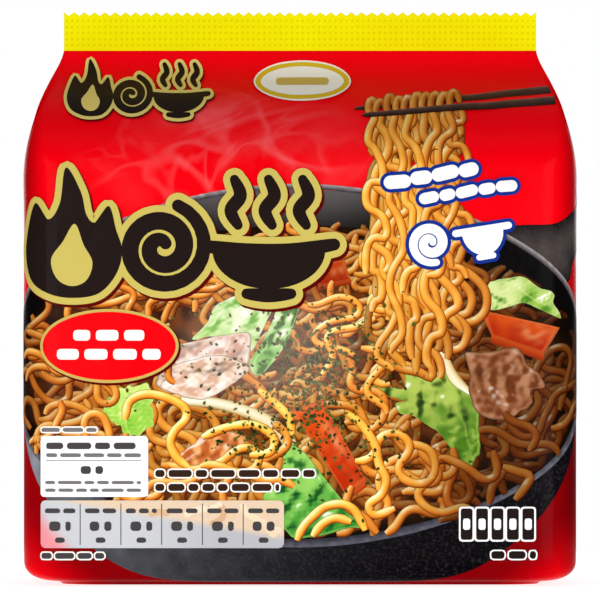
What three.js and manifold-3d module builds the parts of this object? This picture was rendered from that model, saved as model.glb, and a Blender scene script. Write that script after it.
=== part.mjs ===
// A shut multipack of instant noodles: one pillow of printed film round a stack of single bags.
// The tube of film is tucked in at both sides of the top, like a gabled carton, and crimped into
// a flat upright seal with a zigzag cut edge. The bottom seal is folded flat under the pack, and
// the lengthwise seam of the tube lies flat on the back.
// Millimetres, +Z up, front towards -Y, origin on the floor under the middle of the pack.
import * as THREE from "three";
import { mergeVertices } from "three/addons/utils/BufferGeometryUtils.js";
import Module from "manifold-3d";

// Driving dimensions of the whole pack.
const WIDTH = 190;
const DEPTH = 120;
const HEIGHT = 195;

// Top seal: a flat strip of crimped film.
const SEAL_WIDTH = 162;
const SEAL_HEIGHT = 13.2;
const SEAL_THICKNESS = 1.0;
const TOOTH_COUNT = 46;
const TOOTH_DEPTH = 1.2;
const SEAL_FOOT = HEIGHT - SEAL_HEIGHT;

// Walls: how far each panel bows out, and the radius of the upright edges.
const FRONT_CROWN = 1.6;
const SIDE_CROWN = 0.6;
const EDGE_RADIUS = 13;
const FOLD_RADIUS = 1.1;

// Rounded bottom edge, a quarter of a superellipse.
const BASE_RISE = 8.5;
const BASE_RUN_X = 13.7;
const BASE_RUN_Y = 12;
const BASE_POWER = 2.4;

// Shoulders: the sides draw in from here to the seal, the upright edges sharpen into creases, and
// the side film is tucked in between them.
const SHOULDER_Z = 136;
const SHOULDER_POWER = 1.2;
const CREASE_Z = 138;
const CREASE_END_Z = 162;
const TUCK_Z = 147;
const TUCK_END_Z = 178.5;
const TUCK_DEPTH = 27;
const TUCK_POWER = 3.2;
const TUCK_ONSET = 0.85;

// Heights over which the bow of the panels grows from the base and fades into the shoulders.
const BOW_Z = 45;
const FADE_Z = 119;
const FADE_END_Z = 160;

// Lengthwise seam on the back, and the bottom seal folded flat under the pack in a groove's width.
const SEAM_FROM_X = -3;
const SEAM_TO_X = 9;
const SEAM_THICKNESS = 0.7;
const SEAM_RUN = 6;
const SEAM_END_Z = SEAL_FOOT - SEAM_RUN;
const SEAM_STEP = 0.25;
const GROOVE = 0.6;
const FOLDED_SEAL_WIDTH = 156;
const FOLDED_SEAL_THICKNESS = 0.9;
const FUSE = 0.5;

// Fineness of the faceting.
const FRONT_STEPS = 22;
const SIDE_STEPS = 20;
const EDGE_STEPS = 5;
const BASE_STEPS = 5;
const WALL_STEPS = 9;
const GABLE_STEPS = 21;

// Side view of the front and back roof panels: half depth against height, as the film hangs.
const GABLE = new THREE.SplineCurve(
  [
    [DEPTH / 2 - FRONT_CROWN, 128],
    [57.9, 138],
    [56.0, 146],
    [50.8, 153],
    [42.5, 159.5],
    [32.5, 164.8],
    [21.5, 169],
    [11.2, 172.8],
    [4.6, 176.2],
    [1.7, 179.2],
    [SEAL_THICKNESS / 2 - 0.08, SEAL_FOOT + 1],
  ].map(([y, z]) => new THREE.Vector2(y, z)),
);

const wasm = await Module();
wasm.setup();

const share = (z, from, to) => THREE.MathUtils.clamp((z - from) / (to - from), 0, 1);
const smooth = (z, from, to) => THREE.MathUtils.smoothstep(z, from, to);

// Half width of the front outline at a height above the rounded base.
function halfWidth(z) {
  const full = Math.cos((Math.PI / 2) * share(z, SHOULDER_Z, SEAL_FOOT)) ** SHOULDER_POWER;
  return THREE.MathUtils.lerp(SEAL_WIDTH / 2, WIDTH / 2, full);
}

// What turns a plain box section into the pack's own section at a height z.
function sectionAt(z, halfX, halfY) {
  const creased = smooth(z, CREASE_Z, CREASE_END_Z);
  const radius = THREE.MathUtils.lerp(EDGE_RADIUS, FOLD_RADIUS, creased);
  const fading = 1 - smooth(z, FADE_Z, FADE_END_Z);
  const tucked = share(z, TUCK_Z, TUCK_END_Z) ** TUCK_ONSET;
  return {
    z,
    halfX,
    halfY,
    radius: Math.min(radius, halfY * 0.8),
    frontCrown: FRONT_CROWN * fading * smooth(z, 0, BOW_Z),
    sideCrown: SIDE_CROWN * fading,
    tuck: TUCK_DEPTH * tucked * (1 - share(z, TUCK_END_Z, SEAL_FOOT)),
    seam: SEAM_THICKNESS * smooth(z, 0, SEAM_RUN) * (1 - smooth(z, SEAM_END_Z, SEAL_FOOT)),
  };
}

// The stack of sections: rounded base, walls, then roof panels up into the seal.
function sections() {
  const list = [];
  for (let i = 0; i < BASE_STEPS; i++) {
    const angle = ((i / BASE_STEPS) * Math.PI) / 2;
    const inset = 1 - Math.sin(angle) ** (2 / BASE_POWER);
    const z = BASE_RISE * (1 - Math.cos(angle) ** (2 / BASE_POWER));
    list.push(
      sectionAt(z, WIDTH / 2 - BASE_RUN_X * inset, DEPTH / 2 - FRONT_CROWN - BASE_RUN_Y * inset),
    );
  }
  const gableStart = GABLE.points[0].y;
  for (let i = 0; i < WALL_STEPS; i++) {
    const z = THREE.MathUtils.lerp(BASE_RISE, gableStart, i / WALL_STEPS);
    list.push(sectionAt(z, halfWidth(z), DEPTH / 2 - FRONT_CROWN));
  }
  for (const p of GABLE.getPoints(GABLE_STEPS)) {
    list.push(sectionAt(p.y, halfWidth(p.y), p.x));
  }
  return list;
}

// Places across the back, from +X to -X, with a pair at each edge of the seam.
function backPlaces(reach) {
  const outer = [1, 0.88, 0.76, 0.64, 0.5, 0.34, 0.2].map((part) => part * reach);
  const seam = [SEAM_TO_X + SEAM_STEP, SEAM_TO_X, SEAM_FROM_X, SEAM_FROM_X - SEAM_STEP];
  return [...outer, ...seam, ...[...outer].reverse().map((x) => -x)];
}

// One closed ring of points, anticlockwise from above, starting at the front's left end.
function ring(s) {
  const cornerX = s.halfX - s.sideCrown;
  const reachX = cornerX - s.radius;
  const reachY = s.halfY - s.radius;
  const points = [];
  const put = (x, y) => points.push(new THREE.Vector3(x, y, s.z));
  const edge = (signX, signY, from) => {
    for (let i = 1; i < EDGE_STEPS; i++) {
      const angle = from + ((i / EDGE_STEPS) * Math.PI) / 2;
      put(signX * reachX + s.radius * Math.cos(angle), signY * reachY + s.radius * Math.sin(angle));
    }
  };
  const side = (sign) => {
    for (let i = 0; i <= SIDE_STEPS; i++) {
      const across = Math.sin((i / SIDE_STEPS - 0.5) * Math.PI);
      const bow = s.sideCrown * (1 - across ** 2);
      const dent = s.tuck * (1 - Math.abs(across) ** TUCK_POWER);
      put(sign * (cornerX + bow - dent), sign * across * reachY);
    }
  };
  for (let i = 0; i <= FRONT_STEPS; i++) {
    const across = (2 * i) / FRONT_STEPS - 1;
    put(across * reachX, -s.halfY - s.frontCrown * (1 - across ** 2));
  }
  edge(1, -1, -Math.PI / 2);
  side(1);
  edge(1, 1, 0);
  const backCrown = Math.max(0, s.frontCrown - SEAM_THICKNESS);
  for (const x of backPlaces(reachX)) {
    const raised = x <= SEAM_TO_X && x >= SEAM_FROM_X ? s.seam : 0;
    put(x, s.halfY + backCrown * (1 - (x / reachX) ** 2) + raised);
  }
  edge(-1, 1, Math.PI / 2);
  side(-1);
  edge(-1, -1, Math.PI);
  return points;
}

// A closed solid through a stack of rings, with a fan of triangles over each end. The diagonals of
// the four-sided patches climb away from the front and back creases, alike in all four quarters.
function loft(rings) {
  const count = rings[0].length;
  const vertices = rings.flat();
  const positions = vertices.flatMap((p) => p.toArray());
  const faces = [];
  for (let level = 0; level < rings.length - 1; level++) {
    for (let i = 0; i < count; i++) {
      const a = level * count + i;
      const b = level * count + ((i + 1) % count);
      const [c, d] = [b + count, a + count];
      const mirrored = vertices[a].x * (vertices[a].y + vertices[b].y) > 0;
      faces.push(...(mirrored ? [a, b, d, b, c, d] : [a, b, c, a, c, d]));
    }
  }
  const fan = (level, turned) => {
    const middle = positions.length / 3;
    positions.push(0, 0, rings[level][0].z);
    for (let i = 0; i < count; i++) {
      const a = level * count + i;
      const b = level * count + ((i + 1) % count);
      faces.push(middle, turned ? b : a, turned ? a : b);
    }
  };
  fan(0, true);
  fan(rings.length - 1, false);
  const geometry = new THREE.BufferGeometry();
  geometry.setAttribute("position", new THREE.Float32BufferAttribute(positions, 3));
  geometry.setIndex(faces);
  return geometry;
}

// The upright seal, its top edge cut in a zigzag with a tooth's tip at each end.
function topSeal() {
  const outline = new THREE.Shape();
  const half = SEAL_WIDTH / 2;
  outline.moveTo(-half, SEAL_FOOT);
  outline.lineTo(half, SEAL_FOOT);
  for (let i = 0; i <= 2 * TOOTH_COUNT; i++) {
    const x = half - (i * SEAL_WIDTH) / (2 * TOOTH_COUNT);
    outline.lineTo(x, i % 2 ? HEIGHT - TOOTH_DEPTH : HEIGHT);
  }
  return new THREE.ExtrudeGeometry(outline, { depth: SEAL_THICKNESS, bevelEnabled: false })
    .rotateX(Math.PI / 2)
    .translate(0, SEAL_THICKNESS / 2, 0);
}

// A slab under the pack, up from a height: the bottom seal's own strip, or the slot it lies in.
function underSlab(grow, fromZ, toZ) {
  const width = FOLDED_SEAL_WIDTH + 2 * grow;
  return new THREE.BoxGeometry(width, SEAL_HEIGHT + 2 * grow, toZ - fromZ).translate(
    0,
    SEAL_HEIGHT / 2,
    (fromZ + toZ) / 2,
  );
}

// three.js geometry to a manifold-3d solid, and back.
function toSolid(geometry) {
  const bare = geometry.clone();
  bare.deleteAttribute("normal");
  bare.deleteAttribute("uv");
  const merged = mergeVertices(bare, 1e-4);
  const mesh = new wasm.Mesh({
    numProp: 3,
    vertProperties: merged.attributes.position.array,
    triVerts: new Uint32Array(merged.index.array),
  });
  return new wasm.Manifold(mesh);
}

function toGeometry(solid) {
  const mesh = solid.getMesh();
  const geometry = new THREE.BufferGeometry();
  geometry.setAttribute("position", new THREE.BufferAttribute(mesh.vertProperties, 3));
  geometry.setIndex(new THREE.BufferAttribute(mesh.triVerts, 1));
  geometry.computeVertexNormals();
  return geometry;
}

// The film pack as one solid: body, top seal, and the strip folded under it in its own slot.
function packSolid() {
  const body = toSolid(loft(sections().map(ring))).add(toSolid(topSeal()));
  const slot = toSolid(underSlab(GROOVE, -FUSE, FOLDED_SEAL_THICKNESS));
  const strip = toSolid(underSlab(0, 0, FOLDED_SEAL_THICKNESS + FUSE));
  return body.subtract(slot).add(strip);
}

const film = new THREE.MeshStandardMaterial({ color: 0xd8041a, roughness: 0.28, metalness: 0 });

const pack = new THREE.Mesh(toGeometry(packSolid()), film);
pack.name = "film_pack";

const multipack = new THREE.Group();
multipack.add(pack);

export default multipack;
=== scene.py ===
"""The looks of a shut multipack of instant noodles, in Blender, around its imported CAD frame.

The pack is one bag of glossy printed film. Its film, crimped seals and back seam are fine meshes
that stand for the CAD solid. Its print is made of flat shapes that lie on the film in thin layers:
a dish in a dark pan, plain pictograms where a pack has its title, and blank labels.

Sizes are in millimetres and become metres when a mesh is made. The film's finish and the studio
are in metres. A place on the print is (u, v): u runs round the pack on the film, to the right as
one faces it, and v is the height.
"""
import math

import bpy
import numpy as np
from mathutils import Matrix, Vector


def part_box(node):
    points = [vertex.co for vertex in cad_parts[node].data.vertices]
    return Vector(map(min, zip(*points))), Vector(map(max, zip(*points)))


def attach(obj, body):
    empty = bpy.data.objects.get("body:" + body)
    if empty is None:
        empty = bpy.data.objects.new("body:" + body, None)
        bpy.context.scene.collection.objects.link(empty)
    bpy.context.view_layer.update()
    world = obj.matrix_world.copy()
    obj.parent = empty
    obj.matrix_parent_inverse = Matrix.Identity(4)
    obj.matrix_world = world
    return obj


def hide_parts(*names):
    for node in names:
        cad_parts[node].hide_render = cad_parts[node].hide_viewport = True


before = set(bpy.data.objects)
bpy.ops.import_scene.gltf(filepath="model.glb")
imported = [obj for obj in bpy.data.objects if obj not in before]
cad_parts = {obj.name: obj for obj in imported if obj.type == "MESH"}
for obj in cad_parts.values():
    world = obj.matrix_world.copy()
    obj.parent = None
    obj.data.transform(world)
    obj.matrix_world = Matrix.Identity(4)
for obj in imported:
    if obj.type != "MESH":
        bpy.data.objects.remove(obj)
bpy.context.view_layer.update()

MM = 0.001
NODE = "film_pack"
node_low, node_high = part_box(NODE)

# ---------------------------------------------------------------- the pack's sizes

WIDTH = (node_high[0] - node_low[0]) / MM
DEPTH = (node_high[1] - node_low[1]) / MM
HEIGHT = (node_high[2] - node_low[2]) / MM
SEAL_WIDTH = 162.0
SEAL_HEIGHT = 13.2
SEAL_FOOT = HEIGHT - SEAL_HEIGHT
TOOTH_COUNT = 46
TOOTH_DEPTH = 1.2
FRONT_CROWN = 1.6
SIDE_CROWN = 0.6
EDGE_RADIUS = 13.0
FOLD_RADIUS = 1.1
BASE_RISE = 8.5
BASE_RUN_X = 13.7
BASE_RUN_Y = 12.0
BASE_POWER = 2.4
SHOULDER_Z = 136.0
SHOULDER_POWER = 1.2
CREASE_Z = 138.0
CREASE_END_Z = 162.0
TUCK_Z = 147.0
TUCK_END_Z = 178.5
TUCK_DEPTH = 27.0
TUCK_POWER = 3.2
TUCK_ONSET = 0.85
BOW_Z = 45.0
FADE_Z = 119.0
FADE_END_Z = 160.0
SEAM_FROM_X = -3.0
SEAM_TO_X = 9.0
SEAM_THICKNESS = 0.7
FOLDED_SEAL_WIDTH = 156.0
GABLE = (
    (DEPTH / 2 - FRONT_CROWN, 128.0),
    (57.9, 138.0),
    (56.0, 146.0),
    (50.8, 153.0),
    (42.5, 159.5),
    (32.5, 164.8),
    (21.5, 169.0),
    (11.2, 172.8),
    (4.6, 176.2),
    (1.7, 179.2),
    (0.42, SEAL_FOOT + 1),
)

# The film lies INSET inside the solid's face, so that the print's layers fit on it, and less
# than that above INSET_END_Z, where it closes in on the seal.
INSET = 0.92
INSET_END_Z = 171.0
PRINT_LIFT = 0.08
LAYER = 0.008
LABEL_STEP = 0.03
PLEAT_DEPTH = 0.16
FOLD_DEPTH = 0.2
WAVE_DEPTH = 0.07
LOOSE_WAVE_DEPTH = 0.18

# The q of the middle of each panel.
FRONT, RIGHT, BACK, LEFT = 0.0, 2.5, 5.0, -2.5

# How finely the film is divided: along the front, round a corner and along a side, then up the
# bottom edge, the walls and the roof. The base closes inwards by rings of these shares.
FLAT_STEPS, BEND_STEPS, SIDE_STEPS = 104, 14, 56
EDGE_STEPS, WALL_STEPS, ROOF_STEPS = 15, 56, 62
ROOF_Z = SHOULDER_Z - 8
BASE_SHARES = (0.05, 0.2, 0.4, 0.6, 0.8, 0.9, 0.95, 0.97, 0.985)
BASE_HOLLOW = 0.5

# Crimped seals and the back seam, with the columns and rows of their grids.
SEAL_GRID = (553, 56)
FOLDED_GRID = (277, 28)
SEAM_GRID = (17, 150)
FOLDED_SEAL_Z = 0.04
FOLDED_DIMPLE_DEPTH = 0.08
FOLDED_SEAL_GAP = 0.03
SEAL_HALF = 0.38
SEAL_OVERLAP = 0.9
SEAL_SWAY = 0.08
DIMPLE_COLUMNS = 86
DIMPLE_ROWS = 5
DIMPLE_ROW = 2.09
DIMPLE_FOOT = 1.9
DIMPLE_RADIUS = 0.66
DIMPLE_DEPTH = 0.16
SEAM_LIFT = 0.55
SEAM_RIB = 0.04
SEAM_PITCH = 1.6


def colour(*values):
    """A display colour from 0 to 255, as three numbers from 0 to 1."""
    return np.array(values, float) / 255


def colours(*rows):
    """Several display colours, one in each row."""
    return np.array(rows, float) / 255


# ---------------------------------------------------------------- the colours

RED = (250, 0, 16)
DEEP_RED = (132, 0, 6)
LEFT_RED = (168, 0, 9)
STEAM = (255, 186, 190)
HAZE = (255, 240, 222)
IRON_GRAIN = (130, 126, 128)
DEEP_YELLOW = (228, 208, 0)
YELLOW = colour(255, 250, 0)
# The dimples' darker yellow is painted shade in their hollows.
DIMPLE_SHADE_YELLOW = colour(236, 222, 0)
SEAM_RED = colour(238, 0, 14)
BADGE_RED = colour(246, 4, 16)
HEADING_RED = colour(196, 10, 20)
WHITE = colour(253, 253, 253)
CREAM = colour(250, 248, 240)
GOLD = colour(206, 178, 92)
PALE_GOLD = colour(208, 190, 96)
SMALL_GOLD = colour(228, 208, 116)
MAKER_GOLD = colour(222, 186, 40)
INK = colour(34, 24, 22)
SMALL_INK = colour(70, 66, 68)
GREY_INK = colour(118, 114, 116)
BROWN_INK = colour(52, 34, 26)
SHADOW = colour(92, 6, 6)
BLUE = colour(20, 50, 142)

# Noodles: their tints at four strengths of light, golden and brown.
NOODLE_LIT = (-0.25, 0.3, 0.72, 1.0)
NOODLE_GOLD = colours((150, 70, 14), (230, 132, 34), (254, 184, 74), (255, 230, 164))
NOODLE_BROWN = colours((92, 34, 9), (182, 84, 22), (226, 130, 42), (250, 198, 120))
NOODLE_GAP = colour(74, 30, 8)
NOODLE_GLINT = colour(255, 240, 206)
WARM_SHADE = (1.0, 1.3, 1.6)

# More tints. Those in pairs blend into each other, and a stalk's lie side by side.
IRON = colours((128, 130, 138), (13, 10, 14))
HANDLE_IRON = colours((20, 17, 17), (72, 64, 61))
RIM_OUTER = colours((70, 64, 66), (26, 26, 32))
RIM_INNER = colours((150, 142, 142), (84, 84, 96))
FAR_WALL = colours((9, 7, 7), (96, 90, 90))
BED = colours((112, 56, 20), (54, 23, 8))
WOOD = colours((38, 21, 19), (122, 92, 82))
CUT_CARROT = colours((170, 44, 10), (222, 84, 24))
LIT_CARROT = colours((196, 44, 8), (240, 88, 24))
CARROT_SHINE = colour(255, 196, 150)
CARROT_RIM = colour(255, 146, 78)
STALK = colours((170, 150, 96), (236, 230, 190), (255, 252, 236), (226, 216, 168), (150, 124, 70))
STALK_END = colour(236, 190, 120)
FLAKE = colours((26, 36, 12), (104, 108, 46))
TABLE_SKY = colours((238, 150, 156), (202, 204, 208))
TABLE_SHINE = colour(184, 184, 190)
TABLE_FOOD = colour(228, 202, 174)
TABLE_NOODLE = colours((214, 174, 136), (244, 222, 192))

# Cabbage in its pale, its green and its dark tint, and pork in its light and its brown one.
FAN_GREENS = colours((240, 248, 214), (190, 222, 140), (98, 172, 48))
BLADE_GREENS = colours((214, 238, 176), (120, 184, 92), (38, 104, 26))
LEFT_GREENS = colours((216, 238, 130), (150, 206, 70), (98, 172, 48))
RIGHT_GREENS = colours((214, 228, 150), (138, 182, 64), (78, 134, 38))
MIDDLE_GREENS = colours((174, 194, 86), (72, 118, 28), (32, 62, 16))
NEAR_GREENS = colours((150, 208, 96), (62, 148, 48), (14, 78, 26))
FAR_PINKS = colours((244, 222, 208), (204, 156, 136))
PALE_PINKS = colours((250, 230, 212), (216, 170, 142))
BROWNS = colours((176, 122, 88), (108, 54, 24))
NEAR_BROWNS = colours((244, 170, 104), (186, 92, 40))

# ---------------------------------------------------------------- the picture's places

WALL_CENTRE = np.array((0.0, 107.0))
WALL_RADII = np.array((106.0, 114.3))
WALL_POWER = 2.4
RIM_CENTRE = np.array((-0.6, 74.7))
RIM_RADII = np.array((104.5, 60.0))
RIM_POWER = 1.9
HANDLE_TOP = [(62, 119), (72, 121.4), (84, 121.8), (89, 123), (94, 125.4), (99.6, 128)]
HANDLE_TOP += [(118, 135), (145, 136), (150.5, 131)]
HANDLE_LOW = [(76, 100), (88, 100), (93.5, 103.5), (95, 108), (100.5, 112.4)]
HANDLE_LOW += [(118, 119), (134, 123), (145, 123.5), (150.5, 128.5)]
HANDLE_HOLE = (140.0, 129.6)
HEAP_CENTRE = np.array((-0.6, 69.0))
HEAP_RADII = np.array((101.0, 54.0))
STEAM_CENTRE, STEAM_RADII = (-24.0, 146.0), (58.0, 29.0)
HAZE_CENTRE, HAZE_RADII = (-10.0, 80.0), (40.0, 28.0)
LIFT_LEFT, LIFT_RIGHT = 23.0, 57.5
LIFT_TOP, LIFT_FOOT = 160.5, 68.0
LIFT_LAST_FOOT = 112.0

# Each chopstick: its tip, its end, and its half width at both.
UPPER_STICK = ((18.5, 161.9), (85.4, 168.9), 0.8, 1.4)
LOWER_STICK = ((21.1, 159.2), (86.8, 165.0), 0.9, 1.5)

STRAND_STEP = 1.3
STRAND_COLUMNS = (-1.1, -0.9, -0.5, 0.0, 0.5, 0.9, 1.1)
STRAND_REACH = 3.2
LEAST_STRAND = 8
UNDER_STRANDS, OVER_STRANDS, LIFTED_STRANDS = 300, 90, 36
BAND_COLUMNS = (-1, -0.6, 0, 0.6, 1)
LIGHT = np.array((-0.42, 0.6, 0.68))

# Single noodles on top of the rest, and some that droop from those lifted.
CURLS = (
    [(-59, 56), (-57.7, 61.7), (-52.9, 64.4), (-46, 63.7), (-39.2, 60.3), (-38.5, 56.2)]
    + [(-42.3, 52.1), (-43.7, 48), (-41.6, 43.2), (-37.5, 39.8)],
    [(-1, 15.2), (0.8, 19.3), (4.2, 23.1), (8.6, 26.5), (13.8, 27.5), (17.9, 25.8), (20.6, 21.7)]
    + [(22, 18.6)],
    [(4.2, 16.6), (7.6, 20.7), (12, 22.7), (17.2, 21.4)],
    [(16, 58), (21, 54), (25.5, 47), (26.7, 40.8), (29.1, 35.7), (27.4, 30.6), (23.3, 27.2)]
    + [(25.5, 23.7), (32, 26)],
    [(68.4, 40.2), (73.5, 38.4), (77.7, 36.7), (75.3, 32.3), (72.5, 28.9)],
    [(-14, 66), (-9, 62), (-4, 57), (-2.5, 51)],
    [(-33, 50), (-24, 53.5), (-15, 54), (-9, 50), (-10, 45), (-17, 44)],
)
DROOPS = (
    [(52, 108), (58, 104.5), (62.5, 99.5), (62.8, 93.5), (59.5, 89.5), (54, 88)],
    [(49, 103), (55, 101.5), (58, 97), (56.5, 92), (51, 90.5)],
    [(47, 92), (52.5, 90.5), (56.5, 86), (54.5, 80.5), (49.5, 79.5), (46.8, 84), (49, 89)],
    [(30, 84), (28, 78), (33, 73.5), (40, 72), (44.5, 70), (44, 75), (41, 82)],
)

# Toppings, as outlines, a slice's corners in turn, or a strip's middle line.
BACK_CARROT = [(6, 101), (17, 103), (15, 110), (5, 108)]
RIGHT_CARROT = [(64.5, 84.5), (82.3, 78.2), (88.3, 87), (60.5, 93)]
NEAR_CARROT = [(15.8, 29.9), (22.6, 35), (7.6, 62.7), (-3, 59.6)]
FAN_LEAF = [(-20.4, 98), (-9.5, 98.2), (-8.1, 95.8), (-12.2, 87), (-16.3, 79), (-20, 80)]
FAN_LEAF += [(-29, 84), (-36.5, 82.9), (-31.7, 88.3), (-28.3, 94.5)]
BLADE_LEAF = [(-6.4, 95.8), (-0.3, 94.8), (-1.3, 90.4), (-3.7, 83.5), (-6.7, 78.4), (-10.8, 73.3)]
BLADE_LEAF += [(-14.3, 70.6), (-17, 73.3), (-16.3, 76.7), (-12.9, 81.8), (-9.5, 88.7)]
LEFT_LEAF_CENTRE, LEFT_LEAF_RADII = (-57, 59.5), (8.5, 8.5)
RIGHT_LEAF = [(62.1, 101.4), (66.7, 103.1), (75.1, 104.2), (80.2, 100.8), (85.9, 98.6)]
RIGHT_LEAF += [(85.9, 95.2), (89, 90.1), (81.4, 92.9), (75.6, 95.3), (70.2, 93.9), (64.4, 92.9)]
RIGHT_LEAF += [(63.4, 96.3)]
MIDDLE_LEAF = [(22, 67.5), (26, 68.1), (34.4, 66.4), (35.5, 71.5), (37.8, 72.6), (44.6, 70.9)]
MIDDLE_LEAF += [(48, 73.4), (51.3, 68.1), (56.4, 64.7), (60.3, 61.3), (60.3, 53.4), (60.9, 46.7)]
MIDDLE_LEAF += [(59.2, 42.2), (55.8, 39.3), (50.8, 46.2), (47.5, 51), (44, 53.4), (37.8, 57.4)]
MIDDLE_LEAF += [(33.8, 58), (32.1, 61.3), (35, 62.5), (27.5, 64.6), (22.6, 66)]
NEAR_LEAF = [(-5, 47.3), (0.1, 46.3), (6.2, 39.1), (14.4, 28.9), (21.3, 22.7), (24, 19)]
NEAR_LEAF += [(17.2, 19.5), (10.3, 17.5), (4.2, 16.3), (-2, 16), (-6, 20), (-7.5, 26)]
NEAR_LEAF += [(-12.9, 29.6), (-9, 34.5), (-6, 40)]
FAR_PORK = [(-43, 75), (-42, 80.5), (-33, 83), (-25, 84.6), (-17, 85), (-16.9, 79)]
FAR_PORK += [(-18.5, 73.5), (-30, 72)]
PALE_PORK = [(-48.4, 67.5), (-46.5, 72.5), (-39.6, 75.3), (-32, 77.2), (-26, 77.6), (-20, 75.5)]
PALE_PORK += [(-16.9, 73), (-20, 70), (-24, 67), (-31.5, 63), (-38.2, 63.3), (-43, 65)]
RIGHT_PORK = [(55.8, 78.3), (63.2, 78.8), (71.1, 80.3), (74.4, 79.4), (76.7, 74.9), (81.2, 70.9)]
RIGHT_PORK += [(82.6, 67), (77.8, 65.8), (78.4, 61.3), (74.4, 58.5), (69.4, 55.9), (62, 56.8)]
RIGHT_PORK += [(58.6, 60.2), (57, 66), (57, 72.6)]
NEAR_PORK_CENTRE, NEAR_PORK_RADII = (-31, 44), (12, 7)
LEFT_STALK = [(-40, 62.5), (-27.2, 61.3), (-13.6, 56.9), (-5, 50.4), (-3, 45)]
RIGHT_STALK = [(63, 62), (56, 65.5), (51, 71), (47.5, 79)]
LEAF_WAVES = ((3, 0.12), (5, 0.08), (11, 0.05), (19, 0.03))
MEAT_WAVES = ((2, 0.12), (5, 0.1), (9, 0.05))

# Where seaweed is strewn: centre, spread and count. Where upper noodles keep off: centre, radii.
FLAKE_FIELDS = (
    ((8, 74), (24, 24), 520),
    ((2, 62), (14, 20), 260),
    ((-24, 66), (40, 34), 150),
    ((-16, 50), (12, 8), 90),
    ((20, 44), (30, 20), 90),
)
CLEARINGS = (
    ((-19, 82), (14, 15)),
    ((75, 97), (13, 8)),
    ((75, 86), (12, 8)),
    ((48, 60), (13, 13)),
    ((8, 44), (9, 17)),
    ((-31, 74), (13, 10)),
    ((70, 70), (13, 11)),
    ((-57, 59), (6, 7)),
    ((-18, 58), (16, 4)),
    ((5, 27), (10, 8)),
)

# ---------------------------------------------------------------- the labels' places

# The title's sign. Its flame and its bowl are drawn round their own middles.
FLAME = [(9, -17.5), (15, -11), (17, -3), (15, 4), (12.5, 12), (8, 6.5), (5, 9), (3, 17), (-2, 25)]
FLAME += [(-4, 13), (-8, 7.5), (-13, 13), (-17, 3), (-18, -5), (-15, -13), (-8, -17.5), (0, -19)]
TONGUE = [(5, -13), (7, -7), (4, -1), (1, 6), (-3, 0), (-7, -6), (-5, -12.5), (0, -15)]
FLAME_PLACE = np.array((-77, 116))
NEST_PLACE = (-46.5, 114.0)
BOWL_PLACE = np.array((-10.5, 113))
BOWL_SIZE = (19, 13)
BRIM = [(-21, 1.4), (-7, -0.2), (7, -0.2), (22, 2.0)]
FOOT = [(-7.5, -14.6), (0, -15.2), (7.5, -14.6)]
CURL = [(0.6, 8.5), (-1.8, 13.5), (1.4, 18.5), (-0.6, 24)]
CURL_PLACES = (-11, 0.5, 12)
SMALL_TITLE, SMALL_TITLE_PLACE = 0.45, (-36.5, 115.0)

# The slogan's rows: where each starts, the lengths of its bars and their thickness.
SLANT = 9.0
SLOGAN_ROWS = (
    ((30.5, 136.0), (6.2, 4.4, 6.4, 3.8), 4.6),
    ((42.0, 130.5), (4.6, 3.2, 5.4, 3.6, 5.0), 3.8),
)
SLOGAN_NEST = (44.0, 115.5)
SLOGAN_BOWL = (61.5, 119.5)

# Ovals over each other: how far each is moved, its radii and its tint.
MAKER_PLACE = np.array((0.8, 171.2))
MAKER_OVALS = (
    ((0, 0), (16.6, 6.9), CREAM),
    ((0, 0), (16.0, 6.3), MAKER_GOLD),
    ((0, 0), (14.2, 4.9), CREAM),
)
MAKER_BAR = (9, 1.3)
BADGE_PLACE = np.array((-64.5, 80.8))
BADGE_OVALS = (
    ((0.5, -0.6), (23.8, 12.7), SHADOW),
    ((0, 0), (23.6, 12.5), GOLD),
    ((0, 0), (22.6, 11.5), BADGE_RED),
)
BADGE_ROWS = ((82.6, 12.0), (76.2, 17.5))
BADGE_BAR = 3.6

# Rows of bars: low and high corners, tint and lengths. Those on the picture have an edge.
WHITE_BOX = ((-87.9, 29.9), (-51.2, 50.4))
BOX_ROWS = (
    ((-85.8, 46.0), (-53.6, 48.2), SMALL_INK, (5, 10)),
    ((-85.8, 43.3), (-53.6, 44.6), GREY_INK, (3, 9)),
    ((-86.2, 42.0), (-53.0, 42.25), GREY_INK, (40, 41)),
    ((-74.0, 37.6), (-66.4, 40.3), SMALL_INK, (3.4, 3.6)),
    ((-86.2, 34.2), (-53.5, 35.3), GREY_INK, (3, 9)),
    ((-86.2, 31.6), (-53.5, 32.7), GREY_INK, (3, 9)),
)
EDGED_ROWS = (
    ((-87.6, 51.8), (-68.5, 53.2), GREY_INK, (3, 9)),
    ((-87.6, 9.0), (-66.0, 11.0), SMALL_INK, (3, 9)),
    ((-48.8, 36.6), (5.0, 39.0), BROWN_INK, (3, 8)),
    ((-48.8, 31.9), (-7.0, 34.3), BROWN_INK, (3, 8)),
)

# The table: its corners, its columns, and the rows in each: bottom, top, margin and lengths.
TABLE_LOW, TABLE_HIGH = np.array((-87.9, 12.6)), np.array((-5.4, 28.7))
TABLE_COLUMNS = 6
TABLE_ROWS = ((24.4, 26.0, 1.6, (3, 6)), (18.4, 21.6, 3.2, (3, 4)), (14.4, 16.2, 5.2, (3, 4)))
TABLE_STRANDS = 34
TABLE_SLOPE = 0.17

ICON_COUNT = 5
ICON_LEFT, ICON_PITCH, ICON_WIDTH = 54.2, 5.2, 4.0
ICON_FOOT, ICON_TOP = 15.4, 26.0
ICON_EDGE = 0.6
ICON_MARGIN = (0.8, 3.4)
ICON_LINE = ((64.5, 9.0), (79.6, 11.6))

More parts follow.
